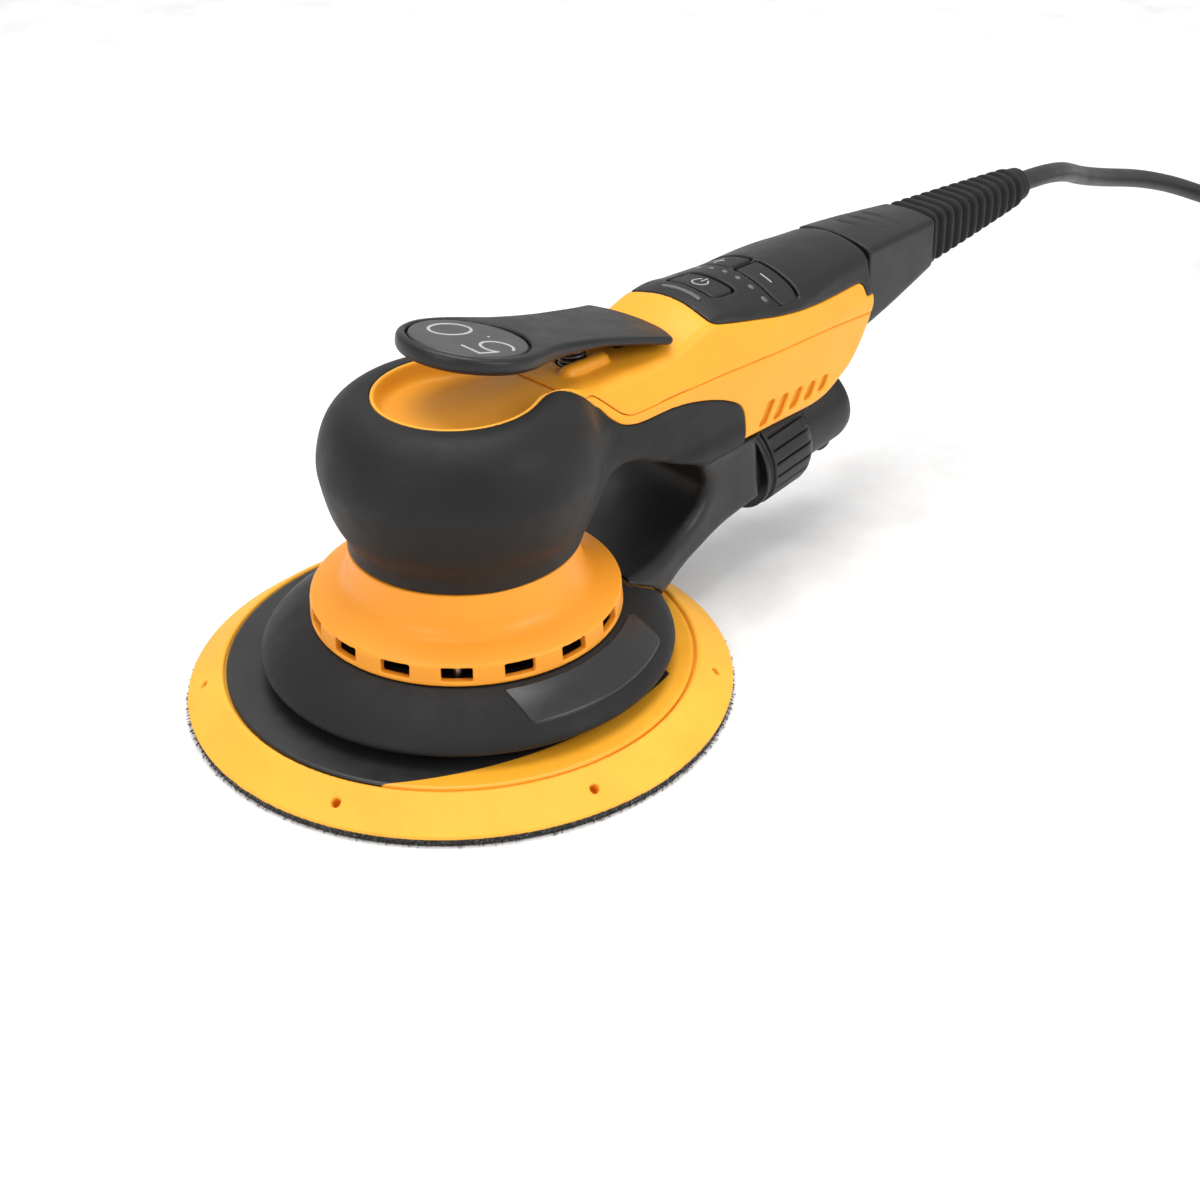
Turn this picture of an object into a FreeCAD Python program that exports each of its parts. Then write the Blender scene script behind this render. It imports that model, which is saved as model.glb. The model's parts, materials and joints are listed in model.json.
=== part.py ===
import FreeCAD, Part
import Sketcher
import math
import os
import re

# Random orbital sander with a round 150 mm pad, millimetres.
# +Z is up, +X runs along the handle towards the mains lead, and the origin is on the motor axis at the
# working face of the pad.  The machine is symmetric about the XZ plane apart from its keys and its orbit.

SHROUD_SCREWS = 4

DIMENSIONS = {
    # pad
    "pad_radius": (75.0, "outer radius of the pad"),
    "hook_thickness": (1.8, "thickness of the hook layer"),
    "foam_edge": (2.8, "height at which the foam starts to narrow"),
    "pad_top_radius": (64.6, "radius of the foam at its top"),
    "pad_top": (9.6, "height of the foam's rim"),
    "cover_thickness": (1.4, "thickness of the pad's cover plate"),
    "dust_hole_radius": (4.0, "radius of a dust hole"),
    "dust_ring_inner": (31.0, "radius of the inner ring of dust holes"),
    "dust_ring_outer": (49.0, "radius of the outer ring of dust holes"),
    "foam_vent_radius": (1.3, "radius of a hole in the foam's side"),
    "orbit_x": (-1.9, "offset of the pad axis from the motor axis along X, at rest"),
    "orbit_y": (1.6, "offset of the pad axis from the motor axis along Y, at rest"),
    "pad_hub_radius": (17.5, "radius of the pad's hub"),
    "stud_radius": (3.9, "radius of the pad's threaded stud"),
    # spindle and rotor
    "spindle_radius": (5.95, "radius of the pad spindle"),
    "spindle_bore": (4.0, "radius of the spindle's thread"),
    "spindle_bearing_outer": (14.0, "outer radius of a spindle bearing"),
    "spindle_bearing_bore": (6.0, "bore radius of a spindle bearing"),
    "spindle_bearing_width": (8.0, "width of a spindle bearing"),
    "hub_radius": (18.2, "radius of the eccentric hub"),
    "hub_floor": (13.8, "lowest height of the eccentric hub"),
    "hub_top": (32.4, "top of the eccentric hub"),
    "weight_radius": (33.5, "outer radius of the counterweight"),
    "fan_radius": (33.0, "outer radius of the cooling fan"),
    "shaft_radius": (5.95, "radius of the rotor shaft in the lower bearing"),
    "shaft_top_radius": (3.95, "radius of the rotor shaft in the upper bearing"),
    "rotor_radius": (12.8, "radius of the rotor core"),
    "magnet_radius": (14.2, "outer radius of the magnets"),
    # motor
    "stator_bore": (14.7, "bore radius of the stator"),
    "stator_radius": (24.0, "outer radius of the stator"),
    "stator_floor": (49.0, "lowest height of the stator core"),
    "stator_top": (64.0, "top of the stator core"),
    "can_radius": (25.6, "outer radius of the motor can"),
    "lower_bearing_floor": (33.4, "lowest height of the lower motor bearing"),
    "lower_bearing_outer": (14.0, "outer radius of the lower motor bearing"),
    "lower_bearing_bore": (6.0, "bore radius of the lower motor bearing"),
    "upper_bearing_floor": (71.5, "lowest height of the upper motor bearing"),
    "upper_bearing_outer": (11.0, "outer radius of the upper motor bearing"),
    "upper_bearing_bore": (4.0, "bore radius of the upper motor bearing"),
    "bearing_width": (8.0, "width of the lower motor bearing"),
    # skirt and vent ring
    "skirt_radius": (56.6, "radius of the dust shroud's rim"),
    "skirt_floor": (13.1, "lowest height of the dust shroud"),
    "skirt_top_radius": (42.5, "radius of the dust shroud at its top"),
    "skirt_top": (25.1, "top of the dust shroud"),
    "skirt_wall": (2.2, "wall of the dust shroud"),
    "shroud_screw_circle": (37.6, "radius of the circle of the shroud's screws"),
    "ring_radius": (42.2, "outer radius of the vent ring"),
    "ring_floor": (25.4, "lowest height of the vent ring"),
    "ring_shoulder": (31.2, "height at which the vent ring starts to narrow"),
    "ring_top_radius": (31.0, "outer radius of the vent ring at its top"),
    "ring_top": (45.4, "top of the vent ring"),
    "ring_wall": (2.2, "wall of the vent ring"),
    "vent_count": (16, "number of slots in the vent ring"),
    "vent_width": (8.4, "width of a slot"),
    "vent_height": (3.7, "height of a slot"),
    # head
    "head_floor": (45.6, "lowest height of the head grip"),
    "head_floor_radius": (30.8, "radius of the head grip at its lower edge"),
    "head_belly_radius": (37.3, "largest radius of the head grip"),
    "head_belly": (70.5, "height of the head grip's largest radius"),
    "rim_radius": (22.5, "outer radius of the head's top rim"),
    "rim_top": (88.0, "height of the head's top rim"),
    "bowl_radius": (19.5, "inner radius of the head's top rim"),
    "bowl_floor": (83.2, "height of the bowl in the head's top"),
    "rubber": (2.3, "thickness of the rubber overmould"),
    "shell": (4.5, "distance from the outside to the housing's cavity"),
    # handle
    "panel_front": (79.5, "front end of the control panel"),
    "handle_end": (149.4, "rear end of the handle"),
    "seam_height": (72.2, "height of the side seam"),
    # lever
    "lever_head_x": (5.0, "place of the lever's round end along X"),
    "lever_head_z": (101.3, "height of the lever's top at its round end"),
    "lever_tilt": (13.0, "slope of the lever in degrees"),
    "lever_head_radius": (18.5, "radius of the lever's round end"),
    "lever_thickness": (3.0, "thickness of the lever's plate"),
    "lever_reach": (62.0, "length from the round end's centre to the rear edge"),
    "lever_waist": (12.6, "half width of the lever at its waist"),
    "lever_tail": (16.6, "half width of the lever at its rear edge"),
    "disc_radius": (15.4, "radius of the inlay on the lever"),
    "hinge_x": (61.0, "place of the lever's pin along X"),
    "hinge_z": (81.0, "height of the lever's pin"),
    "pin_radius": (1.5, "radius of the lever's pin"),
    # keys
    "key_gap": (0.35, "gap around a key"),
    "key_proud": (0.35, "height of a key above the panel"),
    "key_thickness": (2.6, "depth of a key below the panel's surface"),
    # exhaust
    "duct_wall": (2.2, "wall of the exhaust duct"),
    "hose_tilt": (7.9, "slope of the hose fitting in degrees"),
    "hose_x": (104.0, "front end of the hose collar along X"),
    "hose_z": (29.4, "height of the hose fitting's axis at the collar's front end"),
    "collar_radius": (17.0, "outer radius of the hose collar"),
    "collar_length": (21.0, "length of the hose collar"),
    "collar_ribs": (24, "number of ribs on the hose collar"),
    "hose_radius": (13.2, "outer radius of the hose tube"),
    "hose_bore": (11.2, "bore radius of the hose tube"),
    "hose_length": (43.4, "length of the hose tube behind the collar's front end"),
    # mains lead
    "connector_end": (186.0, "rear end of the mains connector"),
    "relief_end": (243.0, "rear end of the strain relief"),
    "relief_ribs": (11, "number of ribs on the strain relief"),
    "cord_radius": (3.3, "radius of the mains cord"),
    "coil_x": (438.0, "centre of the cord's coil along X"),
    "coil_y": (-66.0, "centre of the cord's coil along Y"),
    "coil_mean_radius": (38.0, "mean radius of the coil's turns"),
    "coil_width": (27.0, "width of the coil's bundle"),
    "coil_height": (27.0, "height of the coil's bundle"),
}

# The handle's outline at nine stations from the head to the tail.  Each line gives the place along X, the
# height of the crown, the half width and height of the panel's edge, the half width at the seam, the half
# width low on the side, and the height of the underside.
STATION_COLUMNS = ("place", "crown", "edge_width", "edge_height", "seam_width", "low_width", "underside")
STATIONS = {
    "core": (14.0, 82.0, 13.0, 80.0, 18.0, 17.0, 58.0),
    "neck": (30.0, 82.6, 15.5, 81.2, 20.2, 19.5, 57.5),
    "throat": (46.0, 83.0, 16.0, 81.8, 20.0, 18.8, 57.0),
    "saddle": (60.0, 83.4, 16.2, 82.2, 20.0, 18.5, 50.5),
    "palm": (67.0, 84.0, 16.2, 82.8, 20.0, 18.5, 47.6),
    "front": (79.5, 90.0, 16.3, 87.0, 20.0, 18.5, 46.0),
    "keys": (108.0, 90.4, 19.6, 83.6, 20.6, 18.5, 45.6),
    "waist": (127.0, 90.0, 17.4, 85.4, 19.6, 18.0, 46.4),
    "heel": (139.0, 89.6, 15.6, 85.7, 18.3, 16.8, 51.6),
    "tail": (149.4, 89.2, 14.5, 85.8, 17.0, 15.8, 67.6),
}

# Route of the mains cord from the strain relief to the coil.
CORD_ROUTE = [
    (243.0, 0.0, 78.4),
    (265.0, 0.0, 78.0),
    (313.5, 19.0, 57.1),
    (365.0, 21.8, 42.6),
    (402.0, 14.0, 26.0),
    (436.0, 2.0, 10.0),
    (468.0, -12.0, 3.4),
    (486.0, -36.0, 3.4),
    (486.0, -64.0, 3.4),
]

doc = FreeCAD.newDocument("sander")
sheet = doc.addObject("Spreadsheet::Sheet", "dims")
sub_parts = []


# ---------------------------------------------------------------- the sheet and its expressions

def fill_sheet():
    """Writes every driving dimension into the sheet, one row each, with its alias."""
    rows = [(alias, size, meaning) for alias, (size, meaning) in DIMENSIONS.items()]
    for station, sizes in STATIONS.items():
        for column, size in zip(STATION_COLUMNS, sizes):
            rows.append((f"{station}_{column}", size, f"handle station {station}"))
    for row, (alias, size, meaning) in enumerate(rows, start=1):
        sheet.set(f"A{row}", alias)
        sheet.set(f"B{row}", str(size))
        sheet.set(f"C{row}", meaning)
        sheet.setAlias(f"B{row}", alias)
    doc.recompute()
    return {alias for alias, _, _ in rows}


ALIASES = fill_sheet()


def value(text):
    """The number that an expression of the sheet's aliases stands for."""
    result = sheet.evalExpression(str(text))
    return float(getattr(result, "Value", result))


def linked(text):
    """The same expression as another object has to write it."""
    return re.sub(r"[a-z_]+", lambda word: "dims." + word[0] if word[0] in ALIASES else word[0], str(text))


def bind(thing, **sizes):
    """Ties properties of an object to expressions of the sheet."""
    for name, text in sizes.items():
        thing.setExpression(name, linked(text))


def move(thing, x="0", y="0", z="0"):
    """Ties an object's place to the sheet."""
    for axis, text in zip("xyz", (x, y, z)):
        thing.setExpression(f"Placement.Base.{axis}", linked(text))


def tilt(thing, degrees):
    """Turns an object about the Y axis through its own origin."""
    turn = FreeCAD.Rotation(FreeCAD.Vector(0, 1, 0), value(degrees))
    thing.Placement = FreeCAD.Placement(thing.Placement.Base, turn)


def sub_part(thing, node):
    """Names a finished object as one of the sander's pieces."""
    thing.Label = node
    sub_parts.append(thing)
    return thing


# ---------------------------------------------------------------- sketches and bodies

def draw(sketch, corners):
    """Draws a closed outline and ties it to the sheet.

    A corner is (x, y), or (x, y, radius, "left" or "right") where an arc that turns that way ends there.
    """
    points = [FreeCAD.Vector(value(corner[0]), value(corner[1]), 0) for corner in corners]
    ends = []
    for index, corner in enumerate(corners):
        start, end = points[index - 1], points[index]
        if len(corner) == 2:
            edge = sketch.addGeometry(Part.LineSegment(start, end), False)
            ends.append((edge, 1, 2))
            continue
        radius, turn = value(corner[2]), corner[3]
        chord = end - start
        rise = math.sqrt(max(radius ** 2 - (chord.Length / 2) ** 2, 0.0))
        side = 1 if turn == "left" else -1
        normal = FreeCAD.Vector(-chord.y, chord.x, 0).normalize() * rise * side
        centre = (start + end) * 0.5 + normal
        first, last = (start, end) if turn == "left" else (end, start)
        angles = [math.atan2(point.y - centre.y, point.x - centre.x) for point in (first, last)]
        circle = Part.Circle(centre, FreeCAD.Vector(0, 0, 1), radius)
        edge = sketch.addGeometry(Part.ArcOfCircle(circle, angles[0], angles[1]), False)
        size = sketch.addConstraint(Sketcher.Constraint("Radius", edge, radius))
        sketch.setExpression(f"Constraints[{size}]", linked(corner[2]))
        ends.append((edge, 1, 2) if turn == "left" else (edge, 2, 1))
    for index, (edge, _, end) in enumerate(ends):
        following, start, _ = ends[(index + 1) % len(ends)]
        sketch.addConstraint(Sketcher.Constraint("Coincident", edge, end, following, start))
        for kind, axis, text in (("DistanceX", -2, corners[index][0]), ("DistanceY", -1, corners[index][1])):
            size = value(text)
            if abs(size) < 1e-9:
                sketch.addConstraint(Sketcher.Constraint("PointOnObject", edge, end, axis))
                continue
            number = sketch.addConstraint(Sketcher.Constraint(kind, -1, 1, edge, end, size))
            sketch.setExpression(f"Constraints[{number}]", linked(text))


def add_sketch(body, plane, name, corners, offset="0"):
    """A sketch on one of a body's own origin planes, moved along the plane's normal by an offset."""
    sketch = body.newObject("Sketcher::SketchObject", name)
    support = [item for item in body.Origin.OriginFeatures if item.Role == plane][0]
    sketch.AttachmentSupport = [(support, "")]
    sketch.MapMode = "FlatFace"
    sketch.setExpression("AttachmentOffset.Base.z", linked(offset))
    draw(sketch, corners)
    return sketch


def new_body(name):
    return doc.addObject("PartDesign::Body", name)


def turned(name, corners):
    """A solid of revolution about Z from an outline of (radius, height) corners."""
    body = new_body(name)
    sketch = add_sketch(body, "XZ_Plane", name + "_profile", corners)
    feature = body.newObject("PartDesign::Revolution", name + "_turn")
    feature.Profile = (sketch, [""])
    feature.ReferenceAxis = (sketch, ["V_Axis"])
    feature.Angle = 360
    return body


def padded(name, plane, corners, length, offset="0", symmetric=False):
    """A prism from an outline on an origin plane."""
    body = new_body(name)
    sketch = add_sketch(body, plane, name + "_outline", corners, offset)
    feature = body.newObject("PartDesign::Pad", name + "_pad")
    feature.Profile = (sketch, [""])
    bind(feature, Length=length)
    if symmetric:
        feature.SideType = "Symmetric"
    return body


def lofted(name, sections):
    """A ruled solid through sections across X, each (x, outline of (y, z) corners)."""
    body = new_body(name)
    sketches = []
    for index, (place, corners) in enumerate(sections):
        sketches.append(add_sketch(body, "YZ_Plane", f"{name}_section_{index}", corners, place))
    feature = body.newObject("PartDesign::AdditiveLoft", name + "_loft")
    feature.Profile = (sketches[0], [""])
    feature.Sections = [(sketch, [""]) for sketch in sketches[1:]]
    feature.Ruled = True
    return body


def mirrored_outline(half):
    """A closed outline from its half on the +Y side, listed from top to bottom."""
    return half + [(f"-({corner[0]})", corner[1]) for corner in reversed(half)]


# ---------------------------------------------------------------- primitives and booleans

def cylinder(name, radius, height, x="0", y="0", z="0"):
    thing = doc.addObject("Part::Cylinder", name)
    bind(thing, Radius=radius, Height=height)
    move(thing, x, y, z)
    return thing


def block(name, length, width, height, x="0", y="0", z="0"):
    """A box centred on x and y, standing on z."""
    thing = doc.addObject("Part::Box", name)
    bind(thing, Length=length, Width=width, Height=height)
    move(thing, f"({x}) - ({length}) / 2", f"({y}) - ({width}) / 2", z)
    return thing


def group(name, things):
    """Separate solids kept together as one node or one tool."""
    thing = doc.addObject("Part::Compound", name)
    thing.Links = things
    return thing


def cut(name, base, tool):
    thing = doc.addObject("Part::Cut", name)
    thing.Base = base
    thing.Tool = tool
    return thing


def common(name, base, tool):
    thing = doc.addObject("Part::Common", name)
    thing.Base = base
    thing.Tool = tool
    return thing


def fuse(name, things):
    thing = doc.addObject("Part::MultiFuse", name)
    thing.Shapes = things
    return thing


def ring(name, outer, inner, height, z="0"):
    """A flat ring about the motor axis."""
    core = cylinder(name + "_inner", inner, height, z=z)
    return cut(name, cylinder(name + "_outer", outer, height, z=z), core)


def around(count, radius, phase=0.0):
    """Places evenly spaced round the motor axis, as expressions of x and y with the angle in degrees."""
    for index in range(count):
        angle = phase + 360.0 * index / count
        yield index, f"({radius}) * cos({angle}deg)", f"({radius}) * sin({angle}deg)", angle


def ball_bearing(name, outer, bore, width, z, balls=9):
    """A bearing about the motor axis: two races and a ring of balls, as separate solids."""
    race = f"(({outer}) - ({bore})) * 0.28"
    middle = f"(({outer}) + ({bore})) / 2"
    pieces = [
        ring(name + "_outer_race", outer, f"({outer}) - {race}", width, z),
        ring(name + "_inner_race", f"({bore}) + {race}", bore, width, z),
    ]
    for index, x, y, _ in around(balls, middle):
        ball = doc.addObject("Part::Sphere", f"{name}_ball_{index}")
        bind(ball, Radius=f"(({outer}) - ({bore})) * 0.2")
        move(ball, x, y, f"({z}) + ({width}) / 2")
        pieces.append(ball)
    return group(name, pieces)


# ---------------------------------------------------------------- pad

def dust_holes():
    """Bores that pass through the whole pad, in two rings about the pad's axis."""
    bores = []
    for count, radius, phase in ((8, "dust_ring_inner", 0.0), (16, "dust_ring_outer", 11.25)):
        for index, x, y, _ in around(count, radius, phase):
            name = f"{radius}_bore_{index}"
            bores.append(cylinder(name, "dust_hole_radius", "pad_top + 2", x, y, "-1"))
    return group("dust_bores", bores)


def foam_vents():
    """Small blind holes round the foam's slanted side."""
    vents = []
    for index, x, y, angle in around(8, "pad_radius - 7", 20.0):
        vent = cylinder(f"foam_vent_{index}", "foam_vent_radius", "8")
        turn = FreeCAD.Rotation(FreeCAD.Vector(0, 0, 1), angle)
        lean = FreeCAD.Rotation(FreeCAD.Vector(0, 1, 0), 62)
        vent.Placement = FreeCAD.Placement(FreeCAD.Vector(), turn.multiply(lean))
        move(vent, x, y, "pad_top / 2 - 0.2")
        vents.append(vent)
    return group("foam_vents", vents)


def make_pad():
    bores = dust_holes()
    cover_floor = "pad_top - cover_thickness + 0.2"
    hook = cut("hook", cylinder("hook_disc", "pad_radius - 0.4", "hook_thickness"), bores)
    foam = turned("foam_blank", [
        ("pad_hub_radius + 0.6", "hook_thickness"),
        ("pad_radius", "hook_thickness"),
        ("pad_radius", "foam_edge"),
        ("pad_top_radius", "pad_top"),
        ("pad_top_radius - 0.8", "pad_top"),
        ("pad_top_radius - 0.8", cover_floor),
        ("pad_hub_radius + 0.6", cover_floor),
    ])
    foam = cut("foam", cut("foam_bored", foam, bores), foam_vents())
    cover_bore = "pad_hub_radius + 0.6"
    cover_disc = ring("cover_disc", "pad_top_radius - 1", cover_bore, "cover_thickness", cover_floor)
    cover = cut("cover", cover_disc, bores)
    hub = turned("hub_of_pad", [
        ("stud_radius + 0.1", "hook_thickness + 1.4"),
        ("pad_hub_radius", "hook_thickness + 1.4"),
        ("pad_hub_radius", "pad_top + 1"),
        ("10", "pad_top + 2.4"),
        ("stud_radius + 0.1", "pad_top + 2.4"),
    ])
    stud = turned("stud_of_pad", [
        ("0", "hook_thickness + 0.1"),
        ("9", "hook_thickness + 0.1"),
        ("9", "hook_thickness + 1.3"),
        ("stud_radius", "hook_thickness + 1.3"),
        ("stud_radius", "23.4"),
        ("stud_radius - 0.8", "24.2"),
        ("0", "24.2"),
    ])
    spindle = turned("spindle_of_pad", [
        ("spindle_bore", "pad_top + 2.6"),
        ("8.5", "pad_top + 2.6"),
        ("8.5", "hub_floor - 0.5"),
        ("spindle_radius", "hub_floor - 0.5"),
        ("spindle_radius", "hub_floor + 15.8"),
        ("0", "hub_floor + 15.8"),
        ("0", "24.6"),
        ("spindle_bore", "24.6"),
    ])
    pieces = {
        "hook_face": hook, "pad_foam": foam, "pad_cover_plate": cover,
        "pad_hub": hub, "pad_stud": stud, "pad_spindle": spindle,
    }
    for node, piece in pieces.items():
        move(sub_part(piece, node), "orbit_x", "orbit_y")


# ---------------------------------------------------------------- rotor

def make_rotor():
    bearing_floor = "hub_floor + 0.2"
    hub_blank = turned("eccentric_blank", [
        ("shaft_radius + 0.05", "hub_floor"),
        ("hub_radius", "hub_floor"),
        ("hub_radius", "hub_top - 1.5"),
        ("hub_radius - 1.5", "hub_top"),
        ("shaft_radius + 0.05", "hub_top"),
    ])
    seat_height = "2 * spindle_bearing_width + 0.6"
    seat_floor = "hub_floor - 0.1"
    seat = cylinder("spindle_seat", "spindle_bearing_outer", seat_height, "orbit_x", "orbit_y", seat_floor)
    sub_part(cut("eccentric", hub_blank, seat), "eccentric_hub")

    pair = []
    for index in range(2):
        floor = f"{bearing_floor} + {index} * spindle_bearing_width"
        pair.append(ball_bearing(f"spindle_bearing_{index}", "spindle_bearing_outer", "spindle_bearing_bore",
                                 "spindle_bearing_width - 0.1", floor))
    bearings = group("spindle_bearing_pair", pair)
    move(sub_part(bearings, "spindle_bearings"), "orbit_x", "orbit_y")

    disc = ring("weight_disc", "weight_radius", "hub_radius + 0.1", "5.6", "14.2")
    half = block("weight_half", "weight_radius * 2", "weight_radius * 2", "8", x="weight_radius", z="13")
    away = math.degrees(math.atan2(-value("orbit_y"), -value("orbit_x")))
    weight = common("weight", disc, half)
    weight.Placement = FreeCAD.Placement(FreeCAD.Vector(), FreeCAD.Rotation(FreeCAD.Vector(0, 0, 1), away))
    sub_part(weight, "counterweight")

    blades = [ring("fan_disc", "fan_radius", "hub_radius + 0.1", "1.4", "24.6")]
    blade_size = FreeCAD.Vector(11, 1.2, 4.6)
    blade_sweep = 28
    for index, x, y, angle in around(20, "(fan_radius + hub_radius) / 2 + 1"):
        blade = block(f"fan_blade_{index}", str(blade_size.x), str(blade_size.y), str(blade_size.z))
        turn = FreeCAD.Rotation(FreeCAD.Vector(0, 0, 1), angle + blade_sweep)
        corner = turn.multVec(FreeCAD.Vector(-blade_size.x / 2, -blade_size.y / 2, 0))
        blade.Placement = FreeCAD.Placement(FreeCAD.Vector(), turn)
        move(blade, f"{x} + {corner.x:.4f}", f"{y} + {corner.y:.4f}", "25.8")
        blades.append(blade)
    sub_part(fuse("fan", blades), "cooling_fan")

    shaft = turned("shaft", [
        ("0", "hub_top - 1.4"),
        ("shaft_radius", "hub_top - 1.4"),
        ("shaft_radius", "lower_bearing_floor + bearing_width + 0.5"),
        ("shaft_radius + 1.5", "lower_bearing_floor + bearing_width + 0.5"),
        ("shaft_radius + 1.5", "upper_bearing_floor - 0.5"),
        ("shaft_top_radius", "upper_bearing_floor - 0.5"),
        ("shaft_top_radius", "upper_bearing_floor + 7.2"),
        ("0", "upper_bearing_floor + 7.2"),
    ])
    sub_part(shaft, "rotor_shaft")
    length = "stator_top - stator_floor"
    stack = ring("rotor_stack", "rotor_radius", "shaft_radius + 1.55", length, "stator_floor")
    sub_part(stack, "rotor_core")

    sleeve = ring("magnet_ring", "magnet_radius", "rotor_radius + 0.05", length, "stator_floor")
    gaps = [
        block("magnet_gap_0", "40", "1.2", "30", z="stator_floor - 5"),
        block("magnet_gap_1", "1.2", "40", "30", z="stator_floor - 5"),
    ]
    sub_part(cut("magnets", sleeve, group("magnet_gaps", gaps)), "rotor_magnets")


# ---------------------------------------------------------------- motor

def make_motor():
    length = "stator_top - stator_floor"
    pockets = [
        cylinder(f"stator_pocket_{index}", "3.6", "30", x, y, "stator_floor - 5")
        for index, x, y, _ in around(9, "(stator_radius + stator_bore) / 2")
    ]
    blank = ring("stator_blank", "stator_radius", "stator_bore", length, "stator_floor")
    sub_part(cut("stator", blank, group("stator_pockets", pockets)), "stator_core")

    turns = [
        ring("winding_floor", "stator_radius - 1", "stator_bore + 1.2", "3.6", "stator_floor - 3.8"),
        ring("winding_roof", "stator_radius - 1", "stator_bore + 1.2", "3.6", "stator_top + 0.2"),
    ]
    for index, x, y, _ in around(9, "(stator_radius + stator_bore) / 2"):
        turns.append(cylinder(f"winding_leg_{index}", "3.3", f"{length} + 1", x, y, "stator_floor - 0.5"))
    sub_part(fuse("windings", turns), "stator_windings")

    can = turned("can", [
        ("stator_radius + 0.05", "44"),
        ("can_radius", "44"),
        ("can_radius", "70.4"),
        ("upper_bearing_outer + 2", "71.5"),
        ("upper_bearing_outer + 2", "79.4"),
        ("6", "79.4"),
        ("6", "78.9"),
        ("upper_bearing_outer + 0.05", "78.9"),
        ("upper_bearing_outer + 0.05", "71.2"),
        ("8", "71.2"),
        ("8", "69.2"),
        ("stator_radius + 0.05", "69.2"),
    ])
    sub_part(can, "motor_can")
    sub_part(ball_bearing("upper_ball_bearing", "upper_bearing_outer", "upper_bearing_bore", "7",
                          "upper_bearing_floor"), "upper_bearing")
    sub_part(ball_bearing("lower_ball_bearing", "lower_bearing_outer", "lower_bearing_bore", "bearing_width",
                          "lower_bearing_floor"), "lower_bearing")
    plate = turned("bearing_carrier", [
        ("lower_bearing_outer + 0.05", "lower_bearing_floor"),
        ("31.5", "lower_bearing_floor"),
        ("30.5", "lower_bearing_floor + 1.8"),
        ("18", "lower_bearing_floor + 1.8"),
        ("16.5", "lower_bearing_floor + bearing_width"),
        ("10", "lower_bearing_floor + bearing_width + 1.2"),
        ("10", "lower_bearing_floor + bearing_width + 0.1"),
        ("lower_bearing_outer + 0.05", "lower_bearing_floor + bearing_width + 0.1"),
    ])
    sub_part(plate, "bearing_plate")


# ---------------------------------------------------------------- skirt and vent ring

def skirt_outline(inset="0"):
    """The dust shroud's outside from its rim to the motor axis."""
    return [
        (f"skirt_radius - 1.6 - {inset}", "skirt_floor"),
        (f"skirt_radius - {inset}", "skirt_floor + 1.6", "1.7", "left"),
        (f"skirt_radius - 2.4 - {inset}", f"skirt_floor + 5 - {inset} * 0.4", "5", "left"),
        (f"skirt_top_radius + 0.6 - {inset}", f"skirt_top - {inset}", "34", "left"),
    ]


def make_skirt(duct_bore):
    outside = skirt_outline()
    inside = skirt_outline("skirt_wall")
    blank = turned("shroud_blank", outside + [
        ("36", "skirt_top"),
        ("36", "skirt_top - skirt_wall"),
        inside[3][:2],
        (*inside[2][:2], "34", "right"),
        (*inside[1][:2], "5", "right"),
        ("skirt_radius - skirt_wall - 0.4", "skirt_floor"),
    ])
    screw_bores = group("shroud_screw_bores", shroud_screw_tools("shroud_bore", "1.4"))
    blank = cut("shroud_drilled", blank, screw_bores)
    sub_part(cut("shroud", blank, duct_bore), "dust_shroud")

    baffle = turned("baffle_disc", [
        ("hub_radius + 0.9", "20.4"),
        ("skirt_top_radius - 1.2", "20.4"),
        ("skirt_top_radius - 1.2", "21.8"),
        ("38.5", "skirt_top - skirt_wall - 0.1"),
        ("35.5", "skirt_top - skirt_wall - 0.1"),
        ("hub_radius + 0.9", "22.4"),
    ])
    baffle_bores = group("baffle_bores", shroud_screw_tools("baffle_bore", "1.4"))
    sub_part(cut("baffle", baffle, baffle_bores), "air_baffle")


def shroud_screw_tools(name, radius):
    """Upright cylinders at the four places of the shroud's screws."""
    return [
        cylinder(f"{name}_{index}", radius, "20", x, y, "15")
        for index, x, y, _ in around(SHROUD_SCREWS, "shroud_screw_circle", 45.0)
    ]


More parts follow.
